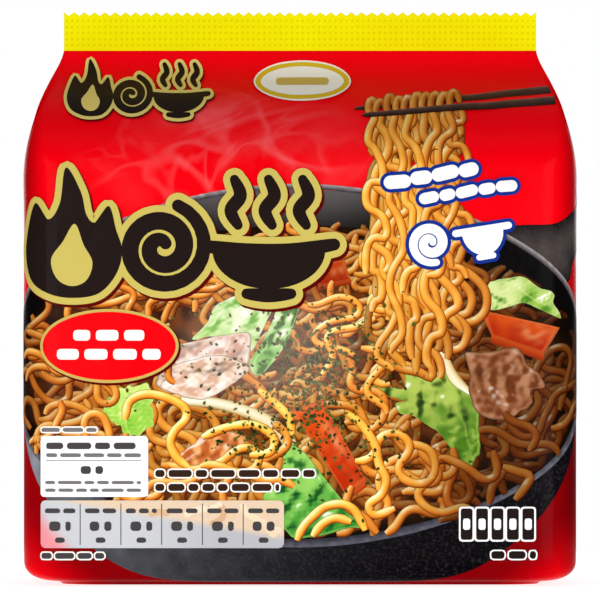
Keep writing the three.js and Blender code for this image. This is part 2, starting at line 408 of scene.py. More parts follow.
# The other sides: white panels, and a row of round cooking signs.
PANEL_MARGIN = 4.0
PANEL_PITCH = 3.4
PANEL_BAR = 1.1
SIDE_PANELS = (
    ("print_right_panel", RIGHT, (-30, 26), (30, 100)),
    ("print_left_panel", LEFT, (-30, 26), (30, 118)),
)
BACK_PANELS = (((-78, 26), (-14, 118)), ((10, 64), (78, 118)))
COOKING_PLACE = np.array((22.0, 46.0))
COOKING_PITCH = np.array((22.0, 0.0))
COOKING_OVALS = ((9.4, YELLOW), (8.6, WHITE))
POT = [(-5.4, 1), (-4.4, -3.2), (0, -4.4), (4.4, -3.2), (5.4, 1)]
POT_BRIM = [(-6.4, 1.2), (6.4, 1.2)]
POT_CURL = [(0, 2.8), (-0.8, 4.2), (0.6, 5.6), (0, 6.8)]
POT_CURL_PITCH = 2.6

# ---------------------------------------------------------------- the film's finish

# Roughness, with what patches and the gable's slope add to it.
GLOSS, SEAL_GLOSS = 0.14, 0.24
PATCH_ROUGHNESS = 0.08
SLOPE_Z, SLOPE_ROUGHNESS = (0.140, 0.166), 0.34

# Shine of the front, and what the sides and the back add to it below the shoulders.
FRONT_SHINE, SIDE_SHINE, BACK_SHINE = 0.025, 0.12, 0.2
SIDE_Y, BACK_Y = (-0.045, -0.02), (0.02, 0.05)
DULLING_Z = (0.116, 0.134)
FOOT_Z, FOOT_SHINE = (0.002, 0.012), 0.1
UNEVEN_STRENGTH, UNEVEN_DEPTH = 0.12, 0.0012

# The red's dark share: near the pan's wall, low down, in front, and paler towards the left.
PAN_SHADE = (1.034, 1.22)
SHADE_Z, SHADE_Y = (0.040, 0.085), (-0.030, 0.010)
LEFT_X = (-0.080, -0.100)

# Painted shade: darker strips along the front's edges, where the film turns from the light.
# The left one is only above the pan.
SHADED_EDGE_X, SHADED_EDGE_Y = (0.086, 0.094), (-0.025, -0.045)
SHADED_EDGE_Z = (0.10, 0.13)
EDGE_PAINTED_SHADE = 0.5

# Threads of steam: the scale of their curls, their width and their strength.
STEAM_THREADS = ((12, 0.03, 0.09), (21, 0.045, 0.06))
STEAM_STRENGTH = 0.18
HAZE_STRENGTH = 0.24
GRAIN_STRENGTH = 0.07

# ---------------------------------------------------------------- the studio

FLOOR_RADIUS = 0.42
FLOOR_DROP = 0.0004
# The floor glows less in and near this oval round the pack: a painted contact shadow.
FLOOR_SHADE = (125.0, 90.0, 0)
FLOOR_GREY = 0.45
SHADE_GLOW, FLOOR_GLOW = 0.84, 0.96
WORLD_GLOW = 0.14
LIGHTS = (
    ("key_left", -24, 9, 2.2, 1.3, 18.5),
    ("key_right", 24, 9, 2.2, 1.3, 18.5),
    ("top", 0, 80, 2.0, 1.0, 2.5),
    ("side_left", -150, 18, 2.2, 1.4, 13),
    ("side_right", 150, 18, 2.2, 1.4, 13),
    ("back", 180, 30, 2.2, 1.4, 3),
)
CAMERA_DISTANCE = 3.4
CAMERA_HEIGHT = 0.0963
CAMERA_SENSOR = 36.0
CAMERA_LENS = 594.5


# ---------------------------------------------------------------- numbers


def smooth(value, low, high):
    """0 below low, 1 above high, and a smooth step between."""
    t = np.clip((np.asarray(value, float) - low) / (high - low), 0, 1)
    return t * t * (3 - 2 * t)


def blend(a, b, share):
    return a + (b - a) * share


def linear(display):
    """Display colours to the linear ones that Blender's shaders take."""
    display = np.clip(np.asarray(display, float), 0, 1)
    return np.where(display <= 0.04045, display / 12.92, ((display + 0.055) / 1.055) ** 2.4)


def rgba(values):
    return (*linear(colour(*values)), 1.0)


def ripple(x, length, seed, parts=5):
    """A smooth random line from -1 to 1, whose waves are about as long as length."""
    rng = np.random.default_rng(seed)
    total = np.zeros_like(np.asarray(x, float))
    for _ in range(parts):
        wave = length * rng.uniform(0.6, 1.7)
        total += np.sin(2 * np.pi * np.asarray(x) / wave + rng.uniform(0, 2 * np.pi))
    return total / parts


def mottle(points, length, seed, parts=9):
    """A smooth random field, mostly from -1 to 1, over points of a plane."""
    rng = np.random.default_rng(seed)
    total = np.zeros(len(points))
    for _ in range(parts):
        angle = rng.uniform(0, 2 * np.pi)
        wave = length * rng.uniform(0.6, 1.6)
        along = points[:, 0] * math.cos(angle) + points[:, 1] * math.sin(angle)
        total += np.sin(2 * np.pi * along / wave + rng.uniform(0, 2 * np.pi))
    return total / parts**0.5 / 1.4


def new_seed(rng):
    return int(rng.integers(1e6))


def catmull(points, steps=8):
    """A smooth line through points, with steps between each two."""
    points = np.asarray(points, float)
    padded = np.vstack([points[:1], points, points[-1:]])
    t = np.linspace(0, 1, steps, endpoint=False)[:, None]
    runs = []
    for i in range(len(points) - 1):
        a, b, c, d = padded[i : i + 4]
        bend = (2 * a - 5 * b + 4 * c - d) * t**2 + (3 * b - a - 3 * c + d) * t**3
        runs.append(b + 0.5 * ((c - a) * t + bend))
    return np.vstack(runs + [points[-1:]])


def ring(points, steps=8):
    """A smooth closed line through points."""
    points = np.asarray(points, float)
    around = catmull(np.vstack([points[-2:], points, points[:2]]), steps)
    return around[2 * steps : -steps - 1]


def resampled(path, step):
    """The same line with its points evenly spaced, about step apart."""
    path = np.asarray(path, float)
    legs = np.linalg.norm(np.diff(path[:, :2], axis=0), axis=1)
    run = np.concatenate([[0], np.cumsum(legs)])
    at = np.linspace(0, run[-1], max(2, int(round(run[-1] / step)) + 1))
    return np.column_stack([np.interp(at, run, path[:, k]) for k in range(path.shape[1])])


def turned(places, degrees):
    c, s = math.cos(math.radians(degrees)), math.sin(math.radians(degrees))
    return np.asarray(places, float) @ np.array([(c, s), (-s, c)])


# ---------------------------------------------------------------- the film's surface

gable_line = catmull(GABLE, 24)

base_angles = np.linspace(0, np.pi / 2, 300)
base_inset = 1 - np.sin(base_angles) ** (2 / BASE_POWER)
base_z = BASE_RISE * (1 - np.cos(base_angles) ** (2 / BASE_POWER))
base_legs = np.hypot(np.diff(base_inset * BASE_RUN_Y), np.diff(base_z))
base_run = np.concatenate([[0], np.cumsum(base_legs)])
BASE_V = BASE_RISE - base_run[-1]  # v where the rounded bottom edge meets the flat base


def section(v):
    """The pack's section at v: its height there, and what its sides, corners and tucks measure."""
    v = np.asarray(v, float)
    run = np.clip(v - BASE_V, 0, base_run[-1])
    z = np.where(v < BASE_RISE, np.interp(run, base_run, base_z), v)
    inset = np.where(v < BASE_RISE, np.interp(run, base_run, base_inset), 0)
    drawn = np.clip((z - SHOULDER_Z) / (SEAL_FOOT - SHOULDER_Z), 0, 1)
    full = np.maximum(np.cos(np.pi / 2 * drawn), 0) ** SHOULDER_POWER
    half_x = blend(SEAL_WIDTH / 2, WIDTH / 2, full) - BASE_RUN_X * inset
    half_y = np.interp(z, gable_line[:, 1], gable_line[:, 0]) - BASE_RUN_Y * inset
    radius = blend(EDGE_RADIUS, FOLD_RADIUS, smooth(z, CREASE_Z, CREASE_END_Z))
    radius = np.minimum(radius, half_y * 0.8)
    fading = 1 - smooth(z, FADE_Z, FADE_END_Z)
    tucked = np.clip((z - TUCK_Z) / (TUCK_END_Z - TUCK_Z), 0, 1) ** TUCK_ONSET
    closing = 1 - np.clip((z - TUCK_END_Z) / (SEAL_FOOT - TUCK_END_Z), 0, 1)
    side_crown = SIDE_CROWN * fading
    return {
        "z": z,
        "half_y": half_y,
        "radius": radius,
        "corner_x": half_x - side_crown,
        "reach_x": half_x - side_crown - radius,
        "reach_y": half_y - radius,
        "front_crown": FRONT_CROWN * fading * smooth(z, 0, BOW_Z),
        "side_crown": side_crown,
        "tuck": TUCK_DEPTH * tucked * closing,
    }


def skin(q, v):
    """Points of the solid's face. |q| is 0 to 1 on the front, 1 to 2 on the corner, 2 to 3 on the
    side, 3 to 4 on the back corner and 4 to 5 on the back, and q is negative on the left."""
    q = (np.asarray(q, float) + 5) % 10 - 5
    s = section(v)
    a = np.abs(q)
    hand = np.where(q < 0, -1.0, 1.0)
    first = (np.clip(a - 1, 0, 1) - 1) * np.pi / 2
    second = np.clip(a - 3, 0, 1) * np.pi / 2
    across = np.clip(a - 2, 0, 1) * 2 - 1
    back_share = 5 - a
    side_x = s["corner_x"] + s["side_crown"] * (1 - across**2)
    side_x = side_x - s["tuck"] * (1 - np.abs(across) ** TUCK_POWER)
    back_crown = np.maximum(0, s["front_crown"] - SEAM_THICKNESS)
    zones = [a < 1, a < 2, a < 3, a < 4]
    x = np.select(
        zones,
        [
            a * s["reach_x"],
            s["reach_x"] + s["radius"] * np.cos(first),
            side_x,
            s["reach_x"] + s["radius"] * np.cos(second),
        ],
        back_share * s["reach_x"],
    )
    y = np.select(
        zones,
        [
            -s["half_y"] - s["front_crown"] * (1 - a**2),
            -s["reach_y"] + s["radius"] * np.sin(first),
            across * s["reach_y"],
            s["reach_y"] + s["radius"] * np.sin(second),
        ],
        s["half_y"] + back_crown * (1 - back_share**2),
    )
    return np.stack([hand * x, y, np.broadcast_to(s["z"], x.shape)], axis=-1)


def creases(points):
    """How far the film stands out of its plain form: pleats under the seal and faint waves."""
    x, y, z = points[..., 0], points[..., 1], points[..., 2]
    below = np.clip(SEAL_FOOT - z, 0, None)
    panel = (1 - smooth(np.abs(x), 70, 84)) * smooth(below, 0.8, 4)
    pleats = PLEAT_DEPTH * np.exp(-below / 6) * ripple(x + 7 * np.sign(y), 6.5, 11)
    pleats += FOLD_DEPTH * np.exp(-(((below - 16) / 9) ** 2)) * ripple(x + 0.6 * z, 21, 12)
    depth = WAVE_DEPTH + LOOSE_WAVE_DEPTH * smooth(y, -50, -25)
    waves = depth * ripple(x + y + 0.3 * z, 40, 13) * ripple(z - 0.2 * x, 39, 14)
    return pleats * panel + waves * smooth(z, 0, 20)


def in_tuck(q, v):
    """1 where the side is tucked in between the front and the back, and 0 elsewhere."""
    a = np.abs((q + 5) % 10 - 5)
    return smooth(section(v)["tuck"], 8, 16) * smooth(np.minimum(a - 2, 3 - a), 0, 0.012)


def film(q, v, lift=0.0):
    """Points of the film's outer face, raised by lift along the film's own normal. The tucks move
    with the panels that they lie behind, so that they never come through them."""
    q, v, lift = np.broadcast_arrays(*(np.asarray(k, float) for k in (q, v, lift)))
    points = skin(q, v)
    dq, dv = 0.004, 0.05
    along = skin(q + dq, v) - skin(q - dq, v)
    up = skin(q, v + dv) - skin(q, v - dv)
    normal = np.cross(along, up)
    normal /= np.maximum(np.linalg.norm(normal, axis=-1, keepdims=True), 1e-9)
    inset = INSET * (1 - smooth(points[..., 2], INSET_END_Z, SEAL_FOOT - 2))
    tucked = in_tuck(q, v)
    shift = (1 - tucked) * creases(points) - inset * (1 - 2 * tucked)
    return points + normal * (lift + shift)[..., None]


def located(u, v, home):
    """The q of a place u round the film from the middle of a panel, at height v."""
    s = section(v)
    arc = s["radius"] * np.pi / 2
    reach_x = np.broadcast_to(s["reach_x"], np.shape(u))
    ends = np.cumsum([reach_x, arc, 2 * s["reach_y"], arc, reach_x], axis=0)
    side_middle = (ends[1] + ends[2]) / 2
    start = {FRONT: 0 * side_middle, RIGHT: side_middle, LEFT: -side_middle, BACK: ends[4]}[home]
    run = (start + u + ends[4]) % (2 * ends[4]) - ends[4]
    size = np.abs(run)
    q = np.full(np.shape(u), 5.0)
    before = np.zeros_like(ends[0])
    for i, end in enumerate(ends):
        inside = (size >= before) & (size < end)
        q = np.where(inside, i + (size - before) / np.maximum(end - before, 1e-6), q)
        before = end
    return np.sign(run) * q


# ---------------------------------------------------------------- meshes


def make_piece(name, points, faces, material, tints=None, replaces=False):
    """One smooth mesh piece from points in millimetres, riding on the pack."""
    mesh = bpy.data.meshes.new(name)
    mesh.from_pydata((np.asarray(points) * MM).tolist(), [], [list(map(int, f)) for f in faces])
    mesh.shade_smooth()
    if tints is not None:
        layer = mesh.color_attributes.new("print", "FLOAT_COLOR", "POINT")
        values = np.column_stack([linear(tints), np.ones(len(tints))])
        layer.data.foreach_set("color", values.ravel())
    mesh.materials.append(material)
    mesh.update()
    piece = bpy.data.objects.new(name, mesh)
    bpy.context.scene.collection.objects.link(piece)
    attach(piece, "root")
    if replaces:
        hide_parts(NODE)


def grid_faces(rows, columns, closed=False):
    """Quads over a grid of points, row by row. A closed grid's rows run into themselves."""
    across = np.arange(columns if closed else columns - 1)
    level = np.arange(rows - 1)[:, None] * columns
    a = (level + across).ravel()
    b = (level + (across + 1) % columns).ravel()
    return np.column_stack([a, b, b + columns, a + columns])


class Layers:
    """Keeps shapes that overlap apart: each new one lies a layer above all that it covers."""

    CELL = 0.8
    LOW = np.array((-165.0, -20.0))
    SIZE = np.array((420, 270))
    SPREAD = np.array([(i, j) for i in (-1, 0, 1) for j in (-1, 0, 1)])
    EASE = 4

    def __init__(self):
        self.top = np.zeros(self.SIZE)

    def cells(self, places):
        """The grid's cells at each place and next to it."""
        at = np.floor((np.asarray(places) - self.LOW) / self.CELL).astype(int)
        cells = np.clip(at[..., None, :] + self.SPREAD, 0, self.SIZE - 1)
        return cells[..., 0], cells[..., 1]

    def eased(self, need):
        """Levels that meet the need everywhere and change only gently along a band."""
        padded = np.pad(need, 2 * self.EASE, mode="edge")
        window = np.lib.stride_tricks.sliding_window_view
        peaks = window(padded, 2 * self.EASE + 1).max(axis=1)
        return window(peaks, 2 * self.EASE + 1).mean(axis=1) + 1

    def flat(self, places, step):
        """The lift of a shape that lies level."""
        cells = self.cells(places)
        level = self.top[cells].max() + step
        self.top[cells] = level
        return PRINT_LIFT + LAYER * level

    def band(self, places, columns):
        """The lifts of a band of rows, which rises where it crosses others or itself."""
        rows = np.reshape(places, (-1, columns, 2))
        cells = self.cells(rows)
        need = self.top[cells].reshape(len(rows), -1).max(axis=1)
        level = self.eased(need)
        middle = rows.mean(axis=1)
        near = np.linalg.norm(middle[:, None] - middle, axis=2) < STRAND_REACH
        order = np.arange(len(rows))
        crossed = near & (order[:, None] - order > 2 * self.EASE)
        level = self.eased(np.maximum(need, np.where(crossed, level, 0).max(axis=1)))
        np.maximum.at(self.top, cells, level[:, None, None])
        return PRINT_LIFT + LAYER * np.repeat(level, columns)

    def above(self):
        return PRINT_LIFT + LAYER * self.top.max() + LABEL_STEP


class Ink:
    """Flat shapes of one piece of print, in (u, v) from the middle of the panel home."""

    def __init__(self, name, material, home=FRONT, layers=None):
        self.name, self.material, self.home, self.layers = name, material, home, layers
        self.places, self.lifts, self.tints, self.faces = [], [], [], []
        self.count = 0

    def add(self, places, faces, tints, lift=None, step=1):
        """Adds a shape, level and step layers above all it covers unless its lift is given."""
        places = np.asarray(places, float)
        lift = self.layers.flat(places, step) if lift is None else lift
        self.places.append(places)
        self.lifts.append(np.broadcast_to(np.asarray(lift, float), len(places)))
        self.tints.append(np.broadcast_to(np.asarray(tints, float), (len(places), 3)))
        self.faces.extend([[i + self.count for i in face] for face in faces])
        self.count += len(places)

    def print(self):
        places, tints = np.vstack(self.places), np.vstack(self.tints)
        u, v = places[:, 0], places[:, 1]
        points = film(located(u, v, self.home), v, np.concatenate(self.lifts))
        make_piece(self.name, points, self.faces, self.material, tints)


# ---------------------------------------------------------------- flat shapes


def ribbon(path, half_widths, columns):
    """A band along a path, with its points in rows across it. Also gives its side direction.
    Inside a tight bend the band ends short of the bend's centre, so that it never folds."""
    path = np.asarray(path, float)
    ahead = np.gradient(path, axis=0)
    legs = np.maximum(np.linalg.norm(ahead, axis=1, keepdims=True), 1e-9)
    ahead /= legs
    side = np.column_stack([-ahead[:, 1], ahead[:, 0]])
    bend = (np.gradient(ahead, axis=0) * side).sum(axis=1, keepdims=True) / legs
    reach = np.broadcast_to(np.asarray(half_widths, float), len(path))
    offsets = reach[:, None] * -np.asarray(columns, float)
    offsets = np.where(offsets * bend > 0.9, 0.9 / np.where(bend == 0, 1, bend), offsets)
    places = path[:, None, :] + side[:, None, :] * offsets[:, :, None]
    return places.reshape(-1, 2), grid_faces(len(path), len(columns)), side


def disc(outline, rings, centre=None, ease=1.0):
    """A filled closed outline, as rings of points round a centre that sees all of it. Also gives
    each point's share of the way from the centre to the rim. Ease draws the rings to the rim."""
    outline = np.asarray(outline, float)
    centre = outline.mean(axis=0) if centre is None else np.asarray(centre, float)
    shares = 1 - (1 - np.linspace(1 / rings, 1, rings)) ** ease
    places = centre + (outline - centre) * shares[:, None, None]
    count = len(outline)
    faces = grid_faces(rings, count, closed=True)[:, ::-1].tolist()
    faces += [[rings * count, i, (i + 1) % count] for i in range(count)]
    places = np.vstack([places.reshape(-1, 2), centre])
    return places, faces, np.append(np.repeat(shares, count), 0)


def round_way(count):
    """Directions all the way round, from the right, anticlockwise."""
    angle = np.linspace(0, 2 * np.pi, count, endpoint=False)
    return np.column_stack([np.cos(angle), np.sin(angle)])


def oval(centre, radii, turn=0.0, count=96):
    return turned(round_way(count) * radii, turn) + centre


def egg(centre, radii, power, count):
    """A round outline a little more pointed than an oval."""
    way = round_way(count)
    return np.sign(way) * np.abs(way) ** (2 / power) * radii + centre


def egg_width(rise, power):
    """The half width of a round outline of radius 1 at a rise above its centre."""
    return np.clip(1 - np.abs(rise) ** power, 0, None) ** (1 / power)


def wobbly(centre, radii, turn, seed, waves, count=96):
    """A round outline that goes in and out by waves of (number, size)."""
    angle = np.linspace(0, 2 * np.pi, count, endpoint=False)
    reach = 1 + sum(size * np.sin(n * angle + seed * (k + 1)) for k, (n, size) in enumerate(waves))
    return turned(round_way(count) * reach[:, None] * radii, turn) + centre


def crinkled(points, seed, size=0.03):
    """A smooth closed line through points, with a finely uneven edge."""
    rim = ring(points, 8)
    middle = rim.mean(axis=0)
    return middle + (rim - middle) * (1 + size * ripple(np.arange(len(rim)), 7, seed))[:, None]


def rounded_box(low, high, radius, step=1.2):
    """The outline of a box with round corners, anticlockwise, with points about step apart."""
    (left, bottom), (right, top) = low, high
    angle = np.linspace(0, np.pi / 2, 5)
    arc = radius * np.column_stack([np.cos(angle), np.sin(angle)])
    middles = (
        (right - radius, top - radius),
        (left + radius, top - radius),
        (left + radius, bottom + radius),
        (right - radius, bottom + radius),
    )
    runs = [turned(arc, 90 * k) + middle for k, middle in enumerate(middles)]
    return resampled(np.vstack(runs + [runs[0][:1]]), step)[:-1]


def sheet(corners, columns, rows):
    """A four-sided patch between corners in turn, as a grid, with its shares across and up."""
    a, b, c, d = (np.array(k, float) for k in corners)
    s, t = np.meshgrid(np.linspace(0, 1, columns), np.linspace(0, 1, rows))
    s, t = s.ravel()[:, None], t.ravel()[:, None]
    places = (a * (1 - s) + b * s) * (1 - t) + (d * (1 - s) + c * s) * t
    return places, grid_faces(rows, columns), s, t


def area(ink, outline, tint, lift, centre=None, spacing=1.2):
    """A plain filled outline with points close enough to lie well on the curved film."""
    outline = np.asarray(outline, float)
    middle = outline.mean(axis=0) if centre is None else np.asarray(centre, float)
    reach = np.linalg.norm(outline - middle, axis=1).max()
    places, faces, _ = disc(outline, max(2, int(reach / spacing)), middle)
    ink.add(places, faces, tint, lift)


def stroke(ink, path, widths, tint, lift, grow=0.0):
    """A brush stroke with round ends. A grown one stands out all round it, as its outline."""
    path = np.asarray(path, float)
    widths = np.broadcast_to(np.asarray(widths, float), len(path))
    line = resampled(np.column_stack([path, widths]), 0.7)
    path, half = line[:, :2], line[:, 2] / 2 + grow
    first, last = path[0] - path[1], path[-1] - path[-2]
    reach = np.sin(np.linspace(0, np.pi / 2, 6))[1:]
    tip = np.sqrt(np.clip(1 - reach**2, 0, 1))
    before = path[0] + np.outer(reach[::-1] * half[0], first / np.linalg.norm(first))
    after = path[-1] + np.outer(reach * half[-1], last / np.linalg.norm(last))
    path = np.vstack([before, path, after])
    half = np.concatenate([tip[::-1] * half[0], half, tip * half[-1]])
    places, faces, _ = ribbon(path, half, (-1, -0.5, 0, 0.5, 1))
    ink.add(places, faces, tint, lift + np.linspace(0, LABEL_STEP / 4, len(path)).repeat(5))


# ---------------------------------------------------------------- materials


class Nodes:
    """The shader nodes of a material or a world."""

    def __init__(self, tree):
        self.tree = tree

    def feed(self, socket, value):
        """Gives a socket a value, or links another node's output to it."""
        if isinstance(value, bpy.types.NodeSocket):
            self.tree.links.new(value, socket)
        else:
            socket.default_value = value

    def add(self, kind, inputs=(), **settings):
        """A node with its settings. inputs are values or other nodes' outputs, by name."""
        node = self.tree.nodes.new(kind)
        for key, value in settings.items():
            setattr(node, key, value)
        for key, value in dict(inputs).items():
            self.feed(node.inputs[key], value)
        return node

    def ramp(self, value, low, high, bottom=0.0, top=1.0):
        """A smooth step from bottom, where the value is low, to top, where it is high."""
        inputs = {"Value": value, "From Min": low, "From Max": high}
        inputs |= {"To Min": bottom, "To Max": top}
        node = self.add("ShaderNodeMapRange", inputs, interpolation_type="SMOOTHSTEP")
        return node.outputs["Result"]

    def maths(self, operation, total, *values):
        """Values joined in turn by one operation."""
        for value in values:
            total = self.add("ShaderNodeMath", {0: total, 1: value}, operation=operation).outputs[0]
        return total

    def mix(self, share, a, b):
        return self.add("ShaderNodeMix", {0: share, 6: a, 7: b}, data_type="RGBA").outputs[2]


class Surface(Nodes):
    """The nodes of one material, with the place on the object that they colour, in metres."""

    def __init__(self, name):
        self.material = bpy.data.materials.new(name)
        self.material.use_nodes = True
        super().__init__(self.material.node_tree)
        self.place = self.add("ShaderNodeTexCoord").outputs["Object"]
        split = self.add("ShaderNodeSeparateXYZ", {0: self.place})
        self.x, self.y, self.z = (split.outputs[name] for name in "XYZ")

    def paint(self, inputs):
        """Gives the material's own sockets values or other nodes' outputs, by name."""
        shader = self.tree.nodes["Principled BSDF"]
        for name, value in inputs.items():
            self.feed(shader.inputs[name], value)

    def print_tint(self):
        return self.add("ShaderNodeAttribute", attribute_name="print").outputs["Color"]

    def noise(self, scale, detail=2.0, distortion=0.0):
        inputs = {"Vector": self.place, "Scale": scale, "Detail": detail, "Distortion": distortion}
        return self.add("ShaderNodeTexNoise", inputs).outputs["Fac"]

    def vector(self, operation, *values):
        inputs = dict(enumerate(values))
        return self.add("ShaderNodeVectorMath", inputs, operation=operation).outputs

    def oval_distance(self, centre, radii):
        """How far a place lies from the middle of an ellipsoid in millimetres, 1 being its rim. A
        radius of 0 is endless."""
        shift = tuple(-MM * k for k in centre)
        scale = tuple(1 / (k * MM) if k else 0 for k in radii)
        moved = self.vector("ADD", self.place, shift)[0]
        scaled = self.vector("MULTIPLY", moved, scale)[0]
        return self.vector("LENGTH", scaled)["Value"]

    def front_distance(self, centre, radii):
        """How far a place lies from the middle of an oval on the front, 1 being its rim."""
        return self.oval_distance((centre[0], 0.0, centre[1]), (radii[0], 0.0, radii[1]))

    def wall_distance(self):
        """How far a place lies from the middle of the pan's wall, 1 being the wall's outline."""
        total = []
        for along, centre, radius in zip((self.x, self.z), WALL_CENTRE, WALL_RADII):
            off = self.maths("SUBTRACT", along, MM * centre)
            share = self.maths("ABSOLUTE", self.maths("DIVIDE", off, MM * radius), 0.0)
            total.append(self.maths("POWER", share, WALL_POWER))
        return self.maths("POWER", self.maths("ADD", *total), 1 / WALL_POWER)

    def steam(self):
        """How white the steam is: a cloud on the front with two sizes of curling threads."""
        cloud = self.ramp(self.front_distance(STEAM_CENTRE, STEAM_RADII), 1.0, 0.3)
        front = self.ramp(self.y, 0.0, -0.02)
        steam = self.ramp(self.noise(22, 7.0, 0.8), 0.4, 0.86, 0.0, STEAM_STRENGTH)
        for scale, width, strength in STEAM_THREADS:
            off = self.maths("SUBTRACT", self.noise(scale, 2.0, 1.6), 0.5)
            thread = self.maths("ABSOLUTE", off, 0.0)
            steam = self.maths("ADD", steam, self.ramp(thread, width, 0.0, 0.0, strength))
        return self.maths("MULTIPLY", steam, cloud, front)

    def gloss(self, roughness=GLOSS):
        """The clear gloss of the film, softer in front and on its slope, and faintly uneven."""
        patches = self.ramp(self.noise(38), 0.3, 0.75, roughness, roughness + PATCH_ROUGHNESS)
        slope = self.ramp(self.z, *SLOPE_Z, 0.0, SLOPE_ROUGHNESS)
        side = self.ramp(self.y, *SIDE_Y, 0.0, SIDE_SHINE)
        back = self.ramp(self.y, *BACK_Y, 0.0, BACK_SHINE)
        below = self.ramp(self.z, *DULLING_Z, 1.0, 0.0)
        shine = self.maths("MULTIPLY", self.maths("ADD", side, back), below)
        foot = self.ramp(self.z, *FOOT_Z, FOOT_SHINE, 1.0)
        shine = self.maths("MULTIPLY", self.maths("ADD", FRONT_SHINE, shine), foot)
        height = self.noise(95, 3.0)
        uneven = {"Height": height, "Strength": UNEVEN_STRENGTH, "Distance": UNEVEN_DEPTH}
        bump = self.add("ShaderNodeBump", uneven).outputs["Normal"]
        self.paint({"Specular IOR Level": shine, "Normal": bump})
        self.paint({"Roughness": self.maths("ADD", patches, slope)})
        return self.material


def red_film():
    """Red print, darker under the pan, with white steam above it. Its front's edges are darkened
    as painted shade, where the film turns from the light.
    """
    look = Surface("red_film")
    away = look.ramp(look.wall_distance(), *PAN_SHADE)
    bright = look.maths("MAXIMUM", away, look.ramp(look.z, *SHADE_Z), look.ramp(look.y, *SHADE_Y))
    deep = look.mix(look.ramp(look.x, *LEFT_X), rgba(DEEP_RED), rgba(LEFT_RED))
    tint = look.mix(look.steam(), look.mix(bright, deep, rgba(RED)), rgba(STEAM))
    # Painted shade: the front's edges are mixed towards black, where the film turns from the light.
    left = look.ramp(look.x, -SHADED_EDGE_X[0], -SHADED_EDGE_X[1])
    left = look.maths("MULTIPLY", left, look.ramp(look.z, *SHADED_EDGE_Z))
    edge = look.maths("ADD", left, look.ramp(look.x, *SHADED_EDGE_X))
    edge = look.maths("MULTIPLY", edge, look.ramp(look.y, *SHADED_EDGE_Y), EDGE_PAINTED_SHADE)
    look.paint({"Base Color": look.mix(edge, tint, rgba((0, 0, 0)))})
    return look.gloss()


def painted_film(name, grain=0.0, haze=0.0):
    """Print whose colours its mesh carries, with a fine grain where it pictures cast iron, or a
    haze of steam over the middle of the dish."""
    look = Surface(name)
    tint = look.print_tint()
    if grain:
        fine = look.ramp(look.noise(900, 4.0), 0.45, 0.75, 0.0, grain)
        tint = look.mix(fine, tint, rgba(IRON_GRAIN))
    if haze:
        cloud = look.ramp(look.front_distance(HAZE_CENTRE, HAZE_RADII), 1.0, 0.1, 0.0, haze)
        wisps = look.ramp(look.noise(26, 5.0, 0.8), 0.3, 0.75, 0.45, 1.0)
        tint = look.mix(look.maths("MULTIPLY", cloud, wisps), tint, rgba(HAZE))
    look.paint({"Base Color": tint})
    return look.gloss()


def yellow_film():
    """Yellow print of the crimped seals, a little deeper in patches, with the painted shade of
    the dimples that their meshes carry.
    """
    look = Surface("yellow_film")
    patches = look.ramp(look.noise(60), 0.3, 0.75, 0.0, 0.12)
    look.paint({"Base Color": look.mix(patches, look.print_tint(), rgba(DEEP_YELLOW))})
    return look.gloss(SEAL_GLOSS)


# ---------------------------------------------------------------- the bag


def film_body(material):
    """The bag itself, from the flat base round the bottom edge and up into the seal."""
    flat = np.linspace(0, 1, FLAT_STEPS, endpoint=False)
    bend = np.linspace(0, 1, BEND_STEPS, endpoint=False)
    side = (1 - np.cos(np.linspace(0, np.pi, SIDE_STEPS, endpoint=False))) / 2
    half = np.concatenate([flat, 1 + bend, 2 + side, 3 + bend, 4 + flat, [5.0]])
    q = np.concatenate([-half[:0:-1], half[:-1]])
    edge = np.linspace(BASE_V, BASE_RISE, EDGE_STEPS, endpoint=False)
    wall = np.linspace(BASE_RISE, ROOF_Z, WALL_STEPS, endpoint=False)
    roof = np.linspace(ROOF_Z, SEAL_FOOT, ROOF_STEPS)
    rings = film(q[None, :], np.concatenate([edge, wall, roof])[:, None])
    rings[0, :, 2] = 0
    inner = []
    for share in BASE_SHARES:
        hollow = rings[0] * share
        hollow[:, 2] = BASE_HOLLOW * smooth(1 - share, 0, 0.05)
        inner.append(hollow)
    levels = np.concatenate([np.array(inner), rings])
    count = len(q)
    points = np.vstack([levels.reshape(-1, 3), [(0, 0, BASE_HOLLOW)]])
    faces = grid_faces(len(levels), count, closed=True).tolist()
    faces += [[len(points) - 1, (i + 1) % count, i] for i in range(count)]
    faces.append([(len(levels) - 1) * count + i for i in range(count)])
    make_piece("film_body", points, faces, material, replaces=True)


def zigzag(x):
    """How far a seal's cut edge lies below the tips of its teeth."""
    phase = ((x + SEAL_WIDTH / 2) / (SEAL_WIDTH / TOOTH_COUNT)) % 1
    return TOOTH_DEPTH * (1 - np.abs(2 * phase - 1))


def dimples(x, rise, width):
    """The depth share of the crimp's dimples at x across a seal and rise above its foot."""
    pitch = width / DIMPLE_COLUMNS
    dx = (x + width / 2) % pitch - pitch / 2
    row = np.clip(np.round((rise - DIMPLE_FOOT) / DIMPLE_ROW), 0, DIMPLE_ROWS - 1)
    dz = rise - DIMPLE_FOOT - row * DIMPLE_ROW
    return 1 - smooth(np.hypot(dx, dz), 0.15, DIMPLE_RADIUS)


def crimped(width, foot, columns, rows):
    """A grid over a crimped strip: x, rise above its foot, and the dimples' depth shares."""
    x = np.linspace(-width / 2, width / 2, columns)
    rise = blend(foot, SEAL_HEIGHT - zigzag(x), np.linspace(0, 1, rows)[:, None])
    x = np.broadcast_to(x, rise.shape)
    return x, rise, dimples(x, rise, width)


